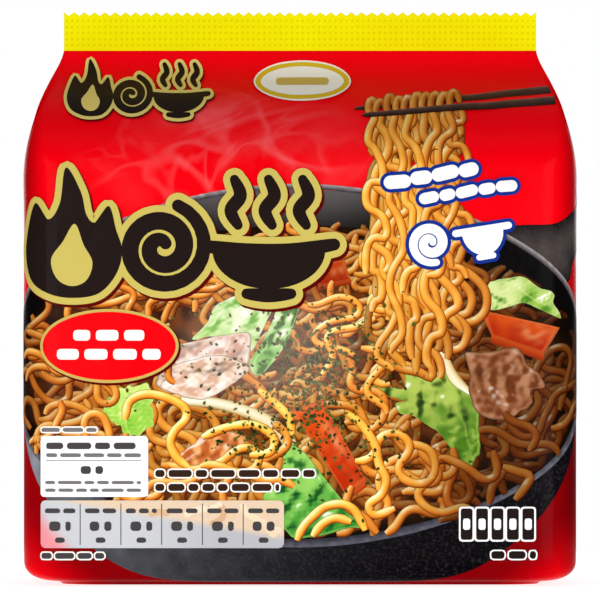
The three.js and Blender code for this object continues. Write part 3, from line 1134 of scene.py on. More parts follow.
def closed_strip(name, front, back, tints, material):
    """One closed piece from a strip's front and back grids of points."""
    rows, columns = front.shape[:2]
    size = rows * columns
    points = np.vstack([front.reshape(-1, 3), back.reshape(-1, 3)])
    rim = np.concatenate(
        [
            np.arange(columns),
            np.arange(1, rows) * columns + columns - 1,
            (rows - 1) * columns + np.arange(columns - 2, -1, -1),
            np.arange(rows - 2, 0, -1) * columns,
        ]
    )
    following = np.roll(rim, -1)
    edge = np.column_stack([following, rim, rim + size, following + size])
    faces = grid_faces(rows, columns)
    faces = np.vstack([faces, faces[:, ::-1] + size, edge])
    make_piece(name, points, faces, material, np.vstack([tints, tints]), replaces=True)


# Yellow, darker in the dimples: painted shade in their hollows.
def seal_tints_with_dimple_shade(pressed):
    return blend(YELLOW, DIMPLE_SHADE_YELLOW, pressed.reshape(-1, 1))


def top_seal(material):
    """The crimped seal on top, swaying a little from front to back."""
    x, rise, pressed = crimped(SEAL_WIDTH, -SEAL_OVERLAP, *SEAL_GRID)
    sway = SEAL_SWAY * ripple(x, 52, 21)
    half = SEAL_HALF - DIMPLE_DEPTH * pressed
    front = np.stack([x, sway - half, SEAL_FOOT + rise], axis=-1)
    back = np.stack([x, sway + half, SEAL_FOOT + rise], axis=-1)
    closed_strip("top_seal", front, back, seal_tints_with_dimple_shade(pressed), material)


def folded_seal(material):
    """The bottom seal, folded flat under the pack, with its cut edge towards the back."""
    x, rise, pressed = crimped(FOLDED_SEAL_WIDTH, 0, *FOLDED_GRID)
    low = np.stack([x, rise, FOLDED_SEAL_Z + FOLDED_DIMPLE_DEPTH * pressed], axis=-1)
    high = np.stack([x, rise, np.full_like(x, BASE_HOLLOW - FOLDED_SEAL_GAP)], axis=-1)
    closed_strip("folded_seal", high, low, seal_tints_with_dimple_shade(pressed), material)


def back_seam(material):
    """The lengthwise seam, lying flat on the back from under the pack up into the top seal."""
    columns, rows = SEAM_GRID
    v = np.linspace(BASE_V, SEAL_FOOT, rows)[:, None]
    u = np.linspace(-SEAM_TO_X, -SEAM_FROM_X, columns)[None, :]
    u, v = np.broadcast_arrays(u, v)
    q = located(u.ravel(), v.ravel(), BACK).reshape(u.shape)
    ribs = SEAM_RIB * np.sin(2 * np.pi * v / SEAM_PITCH) * smooth(np.abs(u - u.mean()), 6, 4.5)
    fade = smooth(v, BASE_V, BASE_V + 4) * (1 - smooth(v, SEAL_FOOT - 6, SEAL_FOOT) * 0.8)
    outer = film(q, v, (SEAM_LIFT + ribs) * fade + 0.02)
    inner = film(q, v, -0.15)
    tints = np.broadcast_to(SEAM_RED, (rows * columns, 3))
    closed_strip("back_seam", outer, inner, tints, material)


# ---------------------------------------------------------------- the pictured pan


def roughened(tint, places, depth, length, seed):
    """A tint made a little lighter and darker in patches."""
    return tint * (1 + depth * mottle(places, length, seed))[:, None]


def pan_wall(ink):
    """The pan's outer wall from the rim down to the pack's base, paler on the left."""
    rows = np.linspace(BASE_V, RIM_CENTRE[1] + RIM_RADII[1] - 1.5, 96)[:, None]
    wall = WALL_RADII[0] * egg_width((rows - WALL_CENTRE[1]) / WALL_RADII[1], WALL_POWER)
    within = RIM_RADII[0] * egg_width((rows - RIM_CENTRE[1]) / RIM_RADII[1], RIM_POWER)
    reach = np.where(rows < RIM_CENTRE[1], wall, np.minimum(wall, within))
    share = np.linspace(-1, 1, 121)
    share = np.sign(share) * (1 - (1 - np.abs(share)) ** 1.5)
    u, v = np.broadcast_arrays(WALL_CENTRE[0] + reach * share, rows)
    places = np.stack([u, v], axis=-1).reshape(-1, 2)
    right = smooth(places[:, 0], -98, 50)[:, None]
    low = smooth(places[:, 1], 45, 5)[:, None]
    tint = blend(*IRON, right) * blend(1.0, 0.62, low)
    faces = grid_faces(len(rows), len(share))
    ink.add(places, faces, roughened(tint, places, 0.14, 9, 31))


def handle(ink):
    """The pan's handle, from the rim round the pack's right edge onto its side."""
    top, low = catmull(HANDLE_TOP, 10), catmull(HANDLE_LOW, 10)
    shares = np.linspace(0, 1, 12)[:, None]
    places = (low[:, None] * (1 - shares) + top[:, None] * shares).reshape(-1, 2)
    body = np.sin(np.pi * np.tile(shares[:, 0], len(top))) ** 0.7
    tint = roughened(blend(*HANDLE_IRON, body[:, None]), places, 0.1, 6, 32)
    ink.add(places, grid_faces(len(top), len(shares))[:, ::-1], tint, step=4)
    places, faces, _ = disc(oval(HANDLE_HOLE, (4.2, 2.2), 8, 32), 4)
    ink.add(places, faces, colour(*RED))


def pan_rim(ink):
    """The pan's rim, a rounded band that is wider in front."""
    middle = egg(RIM_CENTRE, RIM_RADII, RIM_POWER, 320)
    middle = resampled(np.vstack([middle, middle[:1]]), 1.6)
    near = smooth(middle[:, 1], 110, 20)
    places, faces, _ = ribbon(middle, blend(0.9, 1.9, near), BAND_COLUMNS)
    across = np.tile(BAND_COLUMNS, len(middle))
    low = np.repeat(near, len(BAND_COLUMNS))[:, None]
    inwards = smooth(across, -0.9, 0.8)[:, None]
    tint = blend(blend(*RIM_OUTER, low), blend(*RIM_INNER, low), inwards)
    ink.add(places, faces, roughened(tint, places, 0.2, 2.5, 34), step=4)


def pan_inside(ink):
    """The inside wall behind the noodles, and the brown bed that they lie on."""
    outline = egg(RIM_CENTRE, RIM_RADII - 1.0, RIM_POWER, 240)
    places, faces, _ = disc(outline, 56, RIM_CENTRE, 1.5)
    u, v = places[:, 0], places[:, 1]
    far = smooth(v - 0.0035 * (u + 10) ** 2, 110, 134) * (1 - smooth(u, 30, 66))
    ink.add(places, faces, blend(*FAR_WALL, far[:, None]), step=4)
    places, faces, share = disc(oval(HEAP_CENTRE, HEAP_RADII - 1.5, 0, 160), 44, ease=1.5)
    spots = smooth(mottle(places, 8, 33), -0.6, 0.8)[:, None]
    tint = blend(*BED, spots) * blend(1, 0.3, smooth(share, 0.8, 1.0))[:, None]
    ink.add(places, faces, tint * dish_light(places), step=4)


def dish_light(places):
    """How bright the dish is: brightest in the middle and on the left, dim on the right."""
    u, v = places[:, 0], places[:, 1]
    near = np.exp(-(((u + 8) / 40) ** 2) - ((v - 70) / 30) ** 2)
    return (1.0 - 0.46 * smooth(u, 18, 72) + 0.08 * near)[:, None]


# ---------------------------------------------------------------- the pictured noodles


def strand_path(rng, start, length, squash):
    """A noodle's path over the heap, which bends one way and the other in wide curls."""
    run = np.arange(0, length, STRAND_STEP)
    turning = rng.normal(0, 0.05)
    waves = ((rng.uniform(26, 52), 0.1, 0.27), (rng.uniform(12, 20), 0.02, 0.16))
    for wave, least, most in waves:
        bend = rng.uniform(least, most)
        turning = turning + bend * np.sin(2 * np.pi * run / wave + rng.uniform(0, 6.3))
    angle = rng.uniform(0, 2 * np.pi) + np.cumsum(turning) * STRAND_STEP
    steps = np.column_stack([np.cos(angle), np.sin(angle) * squash]) * STRAND_STEP
    return np.asarray(start) + np.cumsum(steps, axis=0)


def shown_part(path, shown):
    """The path up to its first point that isn't shown."""
    return path if shown.all() else path[: int(np.argmin(shown))]


def noodle_tints(lit, tone):
    """The tints of a noodle's surface by how it is lit, from brown to golden by its tone."""
    stops = blend(NOODLE_BROWN, NOODLE_GOLD, tone)
    return np.column_stack([np.interp(lit, NOODLE_LIT, stops[:, k]) for k in range(3)])


def draw_strand(ink, rng, path, width, tone, shade):
    """One noodle, shaded like a round strand lit from above on the left. Its shade is one
    brightness or one for each point of its path."""
    count, columns = len(path), len(STRAND_COLUMNS)
    order = np.arange(count)
    ends = np.minimum(1, 0.6 + np.minimum(order, order[::-1]) * 0.2)
    half = width / 2 * ends * (1 + 0.07 * ripple(order, 9, new_seed(rng)))
    places, faces, side = ribbon(path, half, STRAND_COLUMNS)
    across = np.tile(STRAND_COLUMNS, count)
    out = np.sqrt(np.clip(1 - across**2, 0, 1))
    facing = -np.repeat(side, columns, axis=0) * across[:, None]
    seed = new_seed(rng)
    wet = np.repeat(0.16 * ripple(order, 7, seed), columns)
    lit = facing @ LIGHT[:2] + out * (LIGHT[2] + wet)
    tint = np.where((np.abs(across) > 1)[:, None], NOODLE_GAP, noodle_tints(lit, tone))
    shade = np.repeat(np.broadcast_to(shade, count), columns)[:, None]
    glint = smooth(np.repeat(ripple(order, 6, seed + 1), columns), 0.1, 0.6) * smooth(lit, 0.8, 1.0)
    tint = blend(tint * shade**WARM_SHADE, NOODLE_GLINT * shade**0.5, 0.75 * glint[:, None])
    ink.add(places, faces, tint, ink.layers.band(places, columns))


def heap_tone(place):
    """How golden the noodles are at a place: browner at the back and on the right."""
    u, v = place
    tone = 0.3 + 0.5 * math.exp(-(((u - 30) / 30) ** 2) - ((v - 84) / 40) ** 2)
    return tone + 0.5 * math.exp(-(((u + 20) / 60) ** 2) - ((v - 44) / 40) ** 2)


def noodle_heap(ink, rng, count, first_shade, last_shade, clearings=()):
    """Noodles all over the pan, each above those before it, the later ones brighter."""
    for i in range(count):
        angle, reach = rng.uniform(0, 2 * np.pi), rng.uniform(0, 1) ** 0.45
        start = HEAP_CENTRE + reach * HEAP_RADII * (math.cos(angle), math.sin(angle))
        near = np.clip((HEAP_CENTRE[1] + HEAP_RADII[1] - start[1]) / (2 * HEAP_RADII[1]), 0, 1)
        path = strand_path(rng, start, rng.uniform(28, 64), blend(0.62, 0.9, near))
        inside = (((path - HEAP_CENTRE) / HEAP_RADII) ** 2).sum(axis=1) < 1
        for centre, radii in clearings:
            inside &= (((path - centre) / radii) ** 2).sum(axis=1) > 1
        path = shown_part(path, inside)
        if len(path) < LEAST_STRAND:
            continue
        shade = blend(first_shade, last_shade, i / count) * dish_light(path)[:, 0]
        tone = np.clip(rng.normal(heap_tone(start), 0.22), 0, 1.1)
        draw_strand(ink, rng, path, blend(2.1, 3.0, near), tone, shade)


def lifted_noodles(ink, rng, count):
    """The skein that hangs from the chopsticks down into the heap, in loose curls."""
    for i in range(count):
        share = (i * 0.382 + rng.uniform(-0.05, 0.05)) % 1
        foot = rng.uniform(LIFT_FOOT, LIFT_LAST_FOOT)
        run = np.arange(0, LIFT_TOP - foot, 1.0)
        phase = 2 * np.pi * run / rng.uniform(17, 30) + rng.uniform(0, 6.3)
        phase = phase + 1.2 * ripple(run, 30, new_seed(rng))
        loose = smooth(run, 0, 10)
        middle = blend(LIFT_LEFT + 2, LIFT_RIGHT - 2, share)
        middle = middle + 2.5 * (share - 0.4) * smooth(run, 55, 95)
        swing = rng.uniform(1.4, 3.4) * np.sin(phase)
        u = middle + loose * (swing + 1.6 * ripple(run, 40, new_seed(rng)))
        v = LIFT_TOP + 2.6 * share - run + loose * rng.uniform(0.3, 1.7) * np.sin(2 * phase + 0.6)
        path = resampled(np.column_stack([u, v]), STRAND_STEP)
        tone = np.clip(rng.normal(blend(1.15, 0.7, share), 0.15), 0, 1.2)
        top = blend(0.92, 1.0, smooth(path[:, 1], 156, 138))
        low = blend(0.92, 1.0, smooth(path[:, 1], 80, 100))
        shade = blend(0.72, 1.0, min(1, 1.6 * i / count)) * top * low
        draw_strand(ink, rng, path, rng.uniform(2.4, 3.0), tone, shade)


def loops_over(ink, rng):
    """Short loops of noodle that come over the upper chopstick and down behind the lower one."""
    for u in np.arange(LIFT_LEFT + 1.5, LIFT_RIGHT - 2, 3.1):
        foot = 159.0 + 0.085 * (u - LIFT_LEFT)
        lean, rise = rng.uniform(-0.6, 0.6), rng.uniform(4.8, 6.4)
        path = catmull(
            [
                (u - 1.4 + lean, foot),
                (u - 1.5 + lean / 2, foot + 0.5 * rise),
                (u - 0.4, foot + rise),
                (u + 1.1, foot + 0.86 * rise),
                (u + 1.9, foot + 0.35 * rise),
            ]
        )
        tone = rng.uniform(0.1, 0.75)
        draw_strand(ink, rng, resampled(path, 0.9), rng.uniform(2.3, 2.7), tone, 0.9)


def chopstick(ink, tip, end, half_tip, half_end):
    """One chopstick with a blunt tip, lit along its upper edge."""
    path = resampled([tip, end], 1.2)
    half = np.linspace(half_tip, half_end, len(path))
    half[:3] *= (0.4, 0.75, 0.92)
    lights = np.tile((1.0, 0.55, 0.3, 0.12, 0.0), len(path))
    places, faces, _ = ribbon(path, half, (-1, -0.55, 0, 0.55, 1))
    tint = roughened(blend(*WOOD, lights[:, None]), places, 0.1, 5, 41)
    ink.add(places, faces, tint, ink.layers.band(places, 5))


# ---------------------------------------------------------------- the pictured toppings


def relief(places, height, depth, step=0.25):
    """How a surface of a height over each place would be lit from above on the left, up to 1."""
    here = height(places)
    across = depth * (height(places + (step, 0)) - here) / step
    up = depth * (height(places + (0, step)) - here) / step
    return (LIGHT[2] - across * LIGHT[0] - up * LIGHT[1]) / np.sqrt(1 + across**2 + up**2)


def leaf(ink, outline, root, tints, seed, ridges=11.0):
    """A piece of cabbage leaf: pale at its root, greener outwards, with ridges that fan out."""
    pale, green, dark = tints

    def fan(at):
        away = at - np.array(root)
        angle = np.arctan2(away[:, 1], away[:, 0])
        return np.sin(ridges * angle + 1.2 * mottle(at, 9, seed + 50) + seed)

    def height(at):
        return 0.7 * fan(at) + 1.1 * mottle(at, 8, seed + 50) + 0.13 * mottle(at, 2.4, seed + 51)

    places, faces, share = disc(outline, 30)
    far = np.linalg.norm(places - np.array(root), axis=1)
    far = far / far.max() + 0.14 * mottle(places, 7, seed + 52)
    light = relief(places, height, 0.9)[:, None]
    tint = blend(pale, green, smooth(far, 0.25, 0.85)[:, None])
    tint = blend(dark, tint, smooth(light, 0.05, 0.62))
    tint = blend(tint, pale, 0.7 * smooth(light, 0.74, 0.94))
    tint = blend(tint, WHITE, 0.8 * smooth(light, 0.93, 0.99))
    tint = blend(tint, pale, (0.5 * smooth(fan(places), 0.93, 1.0))[:, None])
    tint = blend(tint, pale, (0.6 * smooth(share, 0.93, 0.97))[:, None])
    ink.add(places, faces, tint * blend(1.0, 0.5, smooth(share, 0.97, 1.0))[:, None])


def carrot(ink, corners, thickness, seed, shade):
    """A carrot slice: a lit face with a wet shine, and its cut edge below."""
    low = [np.array(corner) - (0, thickness) for corner in corners[:2]]
    places, faces, s, t = sheet([*low, corners[1], corners[0]], 24, 4)
    ink.add(places, faces, shade * blend(*CUT_CARROT, t))
    places, faces, s, t = sheet(corners, 26, 26)
    grain = mottle(places, 6, seed)[:, None]
    tint = blend(*LIT_CARROT, smooth(t + 0.25 * grain, 0.0, 1.0))
    spot = np.exp(-(((s - 0.7) / 0.24) ** 2) - ((t - 0.55) / 0.34) ** 2)
    wet = spot * smooth(mottle(places, 4.0, seed + 1), -0.9, 0.9)[:, None]
    tint = blend(tint, CARROT_SHINE, 0.6 * wet)
    rim = np.minimum(np.minimum(s, 1 - s), np.minimum(t, 1 - t))
    tint = blend(tint, CARROT_RIM, 0.5 * smooth(rim, 0.07, 0.03))
    ink.add(places, faces, shade * tint * blend(0.8, 1.0, smooth(rim, 0, 0.03)))


def meat(ink, outline, lean, tints, seed):
    """A thin slice of fried pork, with browned creases, a pale rim of fat and wet lights."""
    light, brown = tints

    def height(at):
        along = turned(at, -lean)
        folds = 1.6 * mottle(along * (0.45, 1.2), 10, seed + 5)
        folds = folds + 0.3 * mottle(along * (0.7, 1.4), 5, seed + 7)
        return folds + 0.1 * mottle(at, 2.4, seed + 6)

    places, faces, share = disc(outline, 30)
    lit = relief(places, height, 0.75)[:, None]
    spots = mottle(places, 6, seed + 8) + 0.5 * mottle(places, 2.6, seed + 6)
    tint = blend(brown, light, smooth(spots, -0.7, 0.9)[:, None])
    tint = blend(brown * 0.45, tint, smooth(lit, -0.15, 0.6))
    tint = blend(tint, light, (0.6 * smooth(share, 0.84, 0.93))[:, None])
    tint = blend(tint, WHITE, 0.65 * smooth(lit, 0.77, 0.93))
    ink.add(places, faces, tint * blend(1.0, 0.45, smooth(share, 0.95, 1.0))[:, None])


def stalk(ink, path, widths):
    """A pale strip of cabbage stalk or onion, browner towards its end."""
    middle = catmull(path)
    shares = np.linspace(0, 1, len(middle))
    line = resampled(np.column_stack([middle, np.interp(shares, (0, 0.5, 1), widths)]), 1.0)
    places, faces, _ = ribbon(line[:, :2], line[:, 2] / 2, BAND_COLUMNS)
    tints = np.tile(STALK, (len(line), 1))
    tints = blend(tints, STALK_END, np.linspace(0, 0.5, len(tints))[:, None])
    ink.add(places, faces, tints, ink.layers.band(places, len(BAND_COLUMNS)))


def toppings(ink):
    """Cabbage, carrot and pork among the noodles, each above those before it."""
    carrot(ink, BACK_CARROT, 1.5, 23, 0.8)
    leaf(ink, crinkled(FAN_LEAF, 3, 0.02), (-14, 104), FAN_GREENS, 3)
    leaf(ink, crinkled(BLADE_LEAF, 4, 0.02), (0, 106), BLADE_GREENS, 6, 24)
    left_leaf = wobbly(LEFT_LEAF_CENTRE, LEFT_LEAF_RADII, 0, 5, LEAF_WAVES)
    leaf(ink, left_leaf, (-60, 75), LEFT_GREENS, 5)
    stalk(ink, LEFT_STALK, (3.2, 4.2, 5.2))
    meat(ink, crinkled(FAR_PORK, 7), 20, FAR_PINKS, 4)
    meat(ink, crinkled(PALE_PORK, 5), 30, PALE_PINKS, 6)
    carrot(ink, RIGHT_CARROT, 2.6, 19, 0.86)
    leaf(ink, crinkled(RIGHT_LEAF, 8), (60, 100), RIGHT_GREENS, 9, 7)
    stalk(ink, RIGHT_STALK, (2.4, 4.2, 3.6))
    leaf(ink, crinkled(MIDDLE_LEAF, 9), (40, 80), MIDDLE_GREENS, 11, 9)
    meat(ink, crinkled(RIGHT_PORK, 12), -38, BROWNS, 9)
    leaf(ink, crinkled(NEAR_LEAF, 13, 0.02), (-8, 50), NEAR_GREENS, 14, 8)
    carrot(ink, NEAR_CARROT, 1.6, 17, 0.93)
    near_pork = wobbly(NEAR_PORK_CENTRE, NEAR_PORK_RADII, 22, 13, MEAT_WAVES)
    meat(ink, near_pork, 22, NEAR_BROWNS, 13)


def flakes(ink, rng, lift):
    """Dried green seaweed, strewn over the middle of the dish in small flakes."""
    for centre, radii, count in FLAKE_FIELDS:
        for _ in range(count):
            at = np.array(centre) + rng.normal(0, 0.5, 2) * radii
            size = rng.uniform(0.3, 0.95)
            corners = oval(at, (size, size * rng.uniform(0.35, 0.8)), rng.uniform(0, 180), 5)
            tint = blend(*FLAKE, rng.uniform(0, 1))
            ink.add(corners, [range(5)], tint, lift + rng.uniform(0, LABEL_STEP))


def dish(layers, rng, iron, painted):
    """The whole picture of the dish, from the pan up to the seaweed. Gives the lift above it."""
    skillet = Ink("print_pan", iron, layers=layers)
    pan_wall(skillet)
    handle(skillet)
    pan_rim(skillet)
    skillet.print()

    noodles = Ink("print_noodles", painted, layers=layers)
    pan_inside(noodles)
    noodle_heap(noodles, rng, UNDER_STRANDS, 0.5, 0.92)
    food = Ink("print_toppings", painted, layers=layers)
    toppings(food)
    food.print()
    noodle_heap(noodles, rng, OVER_STRANDS, 0.94, 1.04, CLEARINGS)
    for path in CURLS:
        path = resampled(catmull(path), STRAND_STEP)
        draw_strand(noodles, rng, path, 2.9, 1.1, 1.04 * dish_light(path)[:, 0])
    noodles.print()

    lifted = Ink("print_lifted_noodles", painted, layers=layers)
    sticks = Ink("print_chopsticks", painted, layers=layers)
    chopstick(sticks, *UPPER_STICK)
    for path in DROOPS:
        draw_strand(lifted, rng, resampled(catmull(path), STRAND_STEP), 2.8, 0.6, 0.9)
    lifted_noodles(lifted, rng, LIFTED_STRANDS)
    loops_over(lifted, rng)
    lifted.print()
    chopstick(sticks, *LOWER_STICK)
    sticks.print()

    seaweed = Ink("print_seaweed", painted)
    flakes(seaweed, rng, layers.above())
    seaweed.print()
    return layers.above() + LABEL_STEP


# ---------------------------------------------------------------- pictograms and labels


def spiral(centre, radius, turns, start, squash=1.0):
    """A spiral line from near its centre outwards."""
    t = np.linspace(0, 1, int(26 * turns))
    angle = start + 2 * np.pi * turns * t
    reach = radius * (0.12 + 0.88 * t)
    return np.column_stack([reach * np.cos(angle), squash * reach * np.sin(angle)]) + centre


def swell(path, least, most):
    """Brush pressure along a stroke: thin at its ends and full in the middle."""
    return blend(least, most, np.sin(np.pi * np.linspace(0.08, 0.92, len(path))) ** 0.8)


def half_round(width, depth):
    """The outline of a bowl's body, its brim level with 0."""
    angle = np.linspace(np.pi, 2 * np.pi, 40)
    under = np.column_stack([width * np.cos(angle), depth * np.sin(angle)])
    brim = np.linspace(width, -width, 30)[1:-1]
    return np.vstack([under, np.column_stack([brim, 0 * brim])])


def sign(ink, shapes, edges, lift, spacing=1.2):
    """Shapes over their edges, each edge a tint, how far it stands out and how far it is moved.
    Each shape is a filled outline with its inner centre, or a stroke with its widths. Gives the
    lift above them."""
    passes = (*edges, (None, 0.0, (0, 0)))
    for level, (plain, grow, shift) in enumerate(passes):
        for i, (kind, path, other, tint) in enumerate(shapes):
            at = lift + LABEL_STEP * (2 * level + i / len(shapes))
            own = tint if plain is None else plain
            if kind == "line":
                stroke(ink, path + shift, other, own, at, grow)
                continue
            if grow:
                stroke(ink, np.vstack([path, path[:2]]) + shift, 2 * grow, own, at)
            area(ink, path + shift, own, at + LABEL_STEP / 2, other + shift, spacing)
    return lift + LABEL_STEP * (2 * len(passes) + 0.5)


def title_sign(ink, size, shift, edge, gold, lift, spacing):
    """The sign in the title's place: a flame, a nest of noodles and a steaming bowl."""

    def put(places):
        return size * places + shift

    lines = [
        (spiral(NEST_PLACE, 15.4, 2.05, 0.9, 0.98), 3.2, 6.0),
        (catmull(BRIM) + BOWL_PLACE, 3.4, 5.4),
        (catmull(FOOT) + BOWL_PLACE, 3.0, 4.6),
    ]
    lines += [(catmull(CURL) + BOWL_PLACE + (u, 0), 2.4, 4.6) for u in CURL_PLACES]
    shapes = [
        ("area", put(ring(FLAME) + FLAME_PLACE), put(FLAME_PLACE + (0, -5)), INK),
        ("area", put(half_round(*BOWL_SIZE) + BOWL_PLACE), put(BOWL_PLACE + (0, -5)), INK),
    ]
    for path, least, most in lines:
        shapes.append(("line", put(path), size * swell(path, least, most), INK))
    edges = ((SHADOW, edge, (0.35 * edge, -0.42 * edge)), (gold, edge, (0, 0)))
    top = sign(ink, shapes, edges, lift, spacing)
    middle = put(FLAME_PLACE + (0, -6))
    area(ink, put(ring(TONGUE) + FLAME_PLACE), gold, top, middle, spacing)


def slogan(ink, rng, lift):
    """White bars, a nest and a bowl with blue edges, rising to the right."""

    def leaning(path, place):
        return turned(path, SLANT) + place

    shapes = []
    for start, lengths, width in SLOGAN_ROWS:
        u = 0.0
        for length in lengths:
            bar = [(u, 0), (u + length - 1.5, rng.uniform(-0.4, 0.4))]
            shapes.append(("line", leaning(bar, start), width, WHITE))
            u += length + width * 0.62
    nest = spiral(SLOGAN_NEST, 6.8, 1.75, 0.3)
    bowl = leaning(half_round(7.0, 8.0), SLOGAN_BOWL)
    brim = leaning([(-9, 0.6), (9, 0.6)], SLOGAN_BOWL)
    foot = leaning([(-2.4, -8.6), (2.4, -8.6)], SLOGAN_BOWL)
    shapes.append(("line", nest, swell(nest, 1.8, 3.4), WHITE))
    shapes.append(("area", bowl, bowl.mean(axis=0), WHITE))
    shapes.append(("line", brim, 2.4, WHITE))
    shapes.append(("line", foot, 2.0, WHITE))
    sign(ink, shapes, ((BLUE, 1.2, (0, 0)),), lift)


def bars(ink, low, high, rng, tint, lift, lengths=(3, 9), edge=None):
    """A row of plain bars over a field, where a pack has a line of print."""
    u, gap = low[0], 0.45 * (high[1] - low[1]) + 0.25
    while u < high[0] - 1:
        end = min(u + rng.uniform(*lengths), high[0])
        end = high[0] if high[0] - end < 1.5 else end
        radius = 0.3 * min(high[1] - low[1], end - u)
        if edge is not None:
            grown = rounded_box((u - 0.5, low[1] - 0.5), (end + 0.5, high[1] + 0.5), radius + 0.4)
            area(ink, grown, edge, lift)
        area(ink, rounded_box((u, low[1]), (end, high[1]), radius, 1.0), tint, lift + LABEL_STEP)
        u = end + gap


def ovals(ink, centre, shapes, lift):
    """Ovals over each other."""
    for i, (shift, radii, tint) in enumerate(shapes):
        area(ink, oval(centre + shift, radii), tint, lift + i * LABEL_STEP)


def labels(ink, rng, lift):
    """Blank label, badge and boxes of the front, filled with plain bars."""
    step = LABEL_STEP
    ovals(ink, MAKER_PLACE, MAKER_OVALS, lift)
    low, high = MAKER_PLACE - MAKER_BAR, MAKER_PLACE + MAKER_BAR
    bars(ink, low, high, rng, GOLD, lift + 3 * step, (17, 18))
    ovals(ink, BADGE_PLACE, BADGE_OVALS, lift)
    for v, reach in BADGE_ROWS:
        low, high = (BADGE_PLACE[0] - reach, v), (BADGE_PLACE[0] + reach, v + BADGE_BAR)
        bars(ink, low, high, rng, CREAM, lift + 3 * step, (5, 9))
    area(ink, rounded_box(*WHITE_BOX, 1.0), WHITE, lift + step)
    for low, high, tint, lengths in BOX_ROWS:
        bars(ink, low, high, rng, tint, lift + 2 * step, lengths)
    table(ink, rng, lift)
    for low, high, tint, lengths in EDGED_ROWS:
        bars(ink, low, high, rng, tint, lift + step, lengths, CREAM)


def table(ink, rng, lift):
    """A pale table of six columns, tinted as if the picture under it shone through."""
    low, high = TABLE_LOW, TABLE_HIGH
    places, faces, _ = disc(rounded_box(low, high, 1.6), 34)
    over_pan = smooth(places[:, 0] + 0.9 * places[:, 1], -71, -63)[:, None]
    shine = smooth(places[:, 0], -60, -20)[:, None]
    food = smooth(places[:, 1] + TABLE_SLOPE * places[:, 0], 13.5, 16.5)[:, None]
    tint = blend(blend(*TABLE_SKY, over_pan), TABLE_SHINE, shine * over_pan)
    ink.add(places, faces, blend(tint, TABLE_FOOD, food * over_pan), lift + LABEL_STEP)
    for _ in range(TABLE_STRANDS):
        path = strand_path(rng, rng.uniform(low + (4, 8), high), 22, 0.8)
        shown = path[:, 1] + TABLE_SLOPE * path[:, 0] > 15.5
        shown &= ((path > low + 1.5) & (path < high - 1.5)).all(axis=1)
        path = shown_part(path, shown)
        if len(path) > 4:
            tint = blend(*TABLE_NOODLE, rng.uniform(0, 1))
            stroke(ink, path, 2.2, tint, lift + LABEL_STEP * rng.uniform(1.3, 1.9))
    step = (high[0] - low[0]) / TABLE_COLUMNS
    above = lift + 2 * LABEL_STEP
    for i in range(TABLE_COLUMNS):
        left = low[0] + i * step
        if i:
            stroke(ink, [(left, low[1] + 1.2), (left, high[1] - 1.2)], 0.3, SMALL_INK, above)
        for bottom, top, margin, lengths in TABLE_ROWS:
            corners = (left + margin, bottom), (left + step - margin, top)
            bars(ink, *corners, rng, SMALL_INK, above, lengths)


def pack_icons(ink, rng, lift):
    """Five small bags, where a pack says how many it holds, and a short line below them."""
    for i in range(ICON_COUNT):
        left = ICON_LEFT + ICON_PITCH * i
        low, high = np.array((left, ICON_FOOT)), np.array((left + ICON_WIDTH, ICON_TOP))
        edge = rounded_box(low - ICON_EDGE, high + ICON_EDGE, 1.0, 0.8)
        inner = rounded_box(low + ICON_MARGIN, high - ICON_MARGIN, 0.5, 0.8)
        area(ink, edge, WHITE, lift + LABEL_STEP * i / ICON_COUNT)
        area(ink, rounded_box(low, high, 0.6, 0.8), INK, lift + 1.5 * LABEL_STEP)
        area(ink, inner, WHITE, lift + 3 * LABEL_STEP)
    bars(ink, *ICON_LINE, rng, INK, lift, (4, 6), WHITE)


def panel(ink, low, high, rng):
    """A white panel of small print: a short heading and rows of bars."""
    low, high = np.array(low, float), np.array(high, float)
    area(ink, rounded_box(low, high, 2.5, 3.0), WHITE, PRINT_LIFT, spacing=3.0)
    above = PRINT_LIFT + LABEL_STEP
    heading = (low[0] + 4, high[1] - 6.4), (high[0] - 0.4 * (high[0] - low[0]), high[1] - 4)
    bars(ink, *heading, rng, HEADING_RED, above, (5, 10))
    low, high = low + PANEL_MARGIN, high - (PANEL_MARGIN, 10)
    for v in np.arange(high[1] - PANEL_BAR, low[1], -PANEL_PITCH):
        end = high[0] - rng.uniform(0, 0.25) * (high[0] - low[0])
        bars(ink, (low[0], v), (end, v + PANEL_BAR), rng, GREY_INK, above)


def cooking_signs(ink):
    """Three round signs in a row on the back: a pot with one, two and three curls of steam."""
    curl = catmull(POT_CURL)
    for i in range(3):
        centre = COOKING_PLACE + i * COOKING_PITCH
        for k, (radius, tint) in enumerate(COOKING_OVALS):
            area(ink, oval(centre, (radius, radius)), tint, PRINT_LIFT + k * LABEL_STEP)
        for k, (path, width) in enumerate(((catmull(POT), 1.3), (POT_BRIM, 1.1))):
            stroke(ink, path + centre, width, INK, PRINT_LIFT + (2 + k / 2) * LABEL_STEP)
        for k in range(i + 1):
            at = centre + (POT_CURL_PITCH * (k - i / 2), 0)
            stroke(ink, curl + at, 0.8, HEADING_RED, PRINT_LIFT + 3 * LABEL_STEP)


# ---------------------------------------------------------------- stage, light and camera


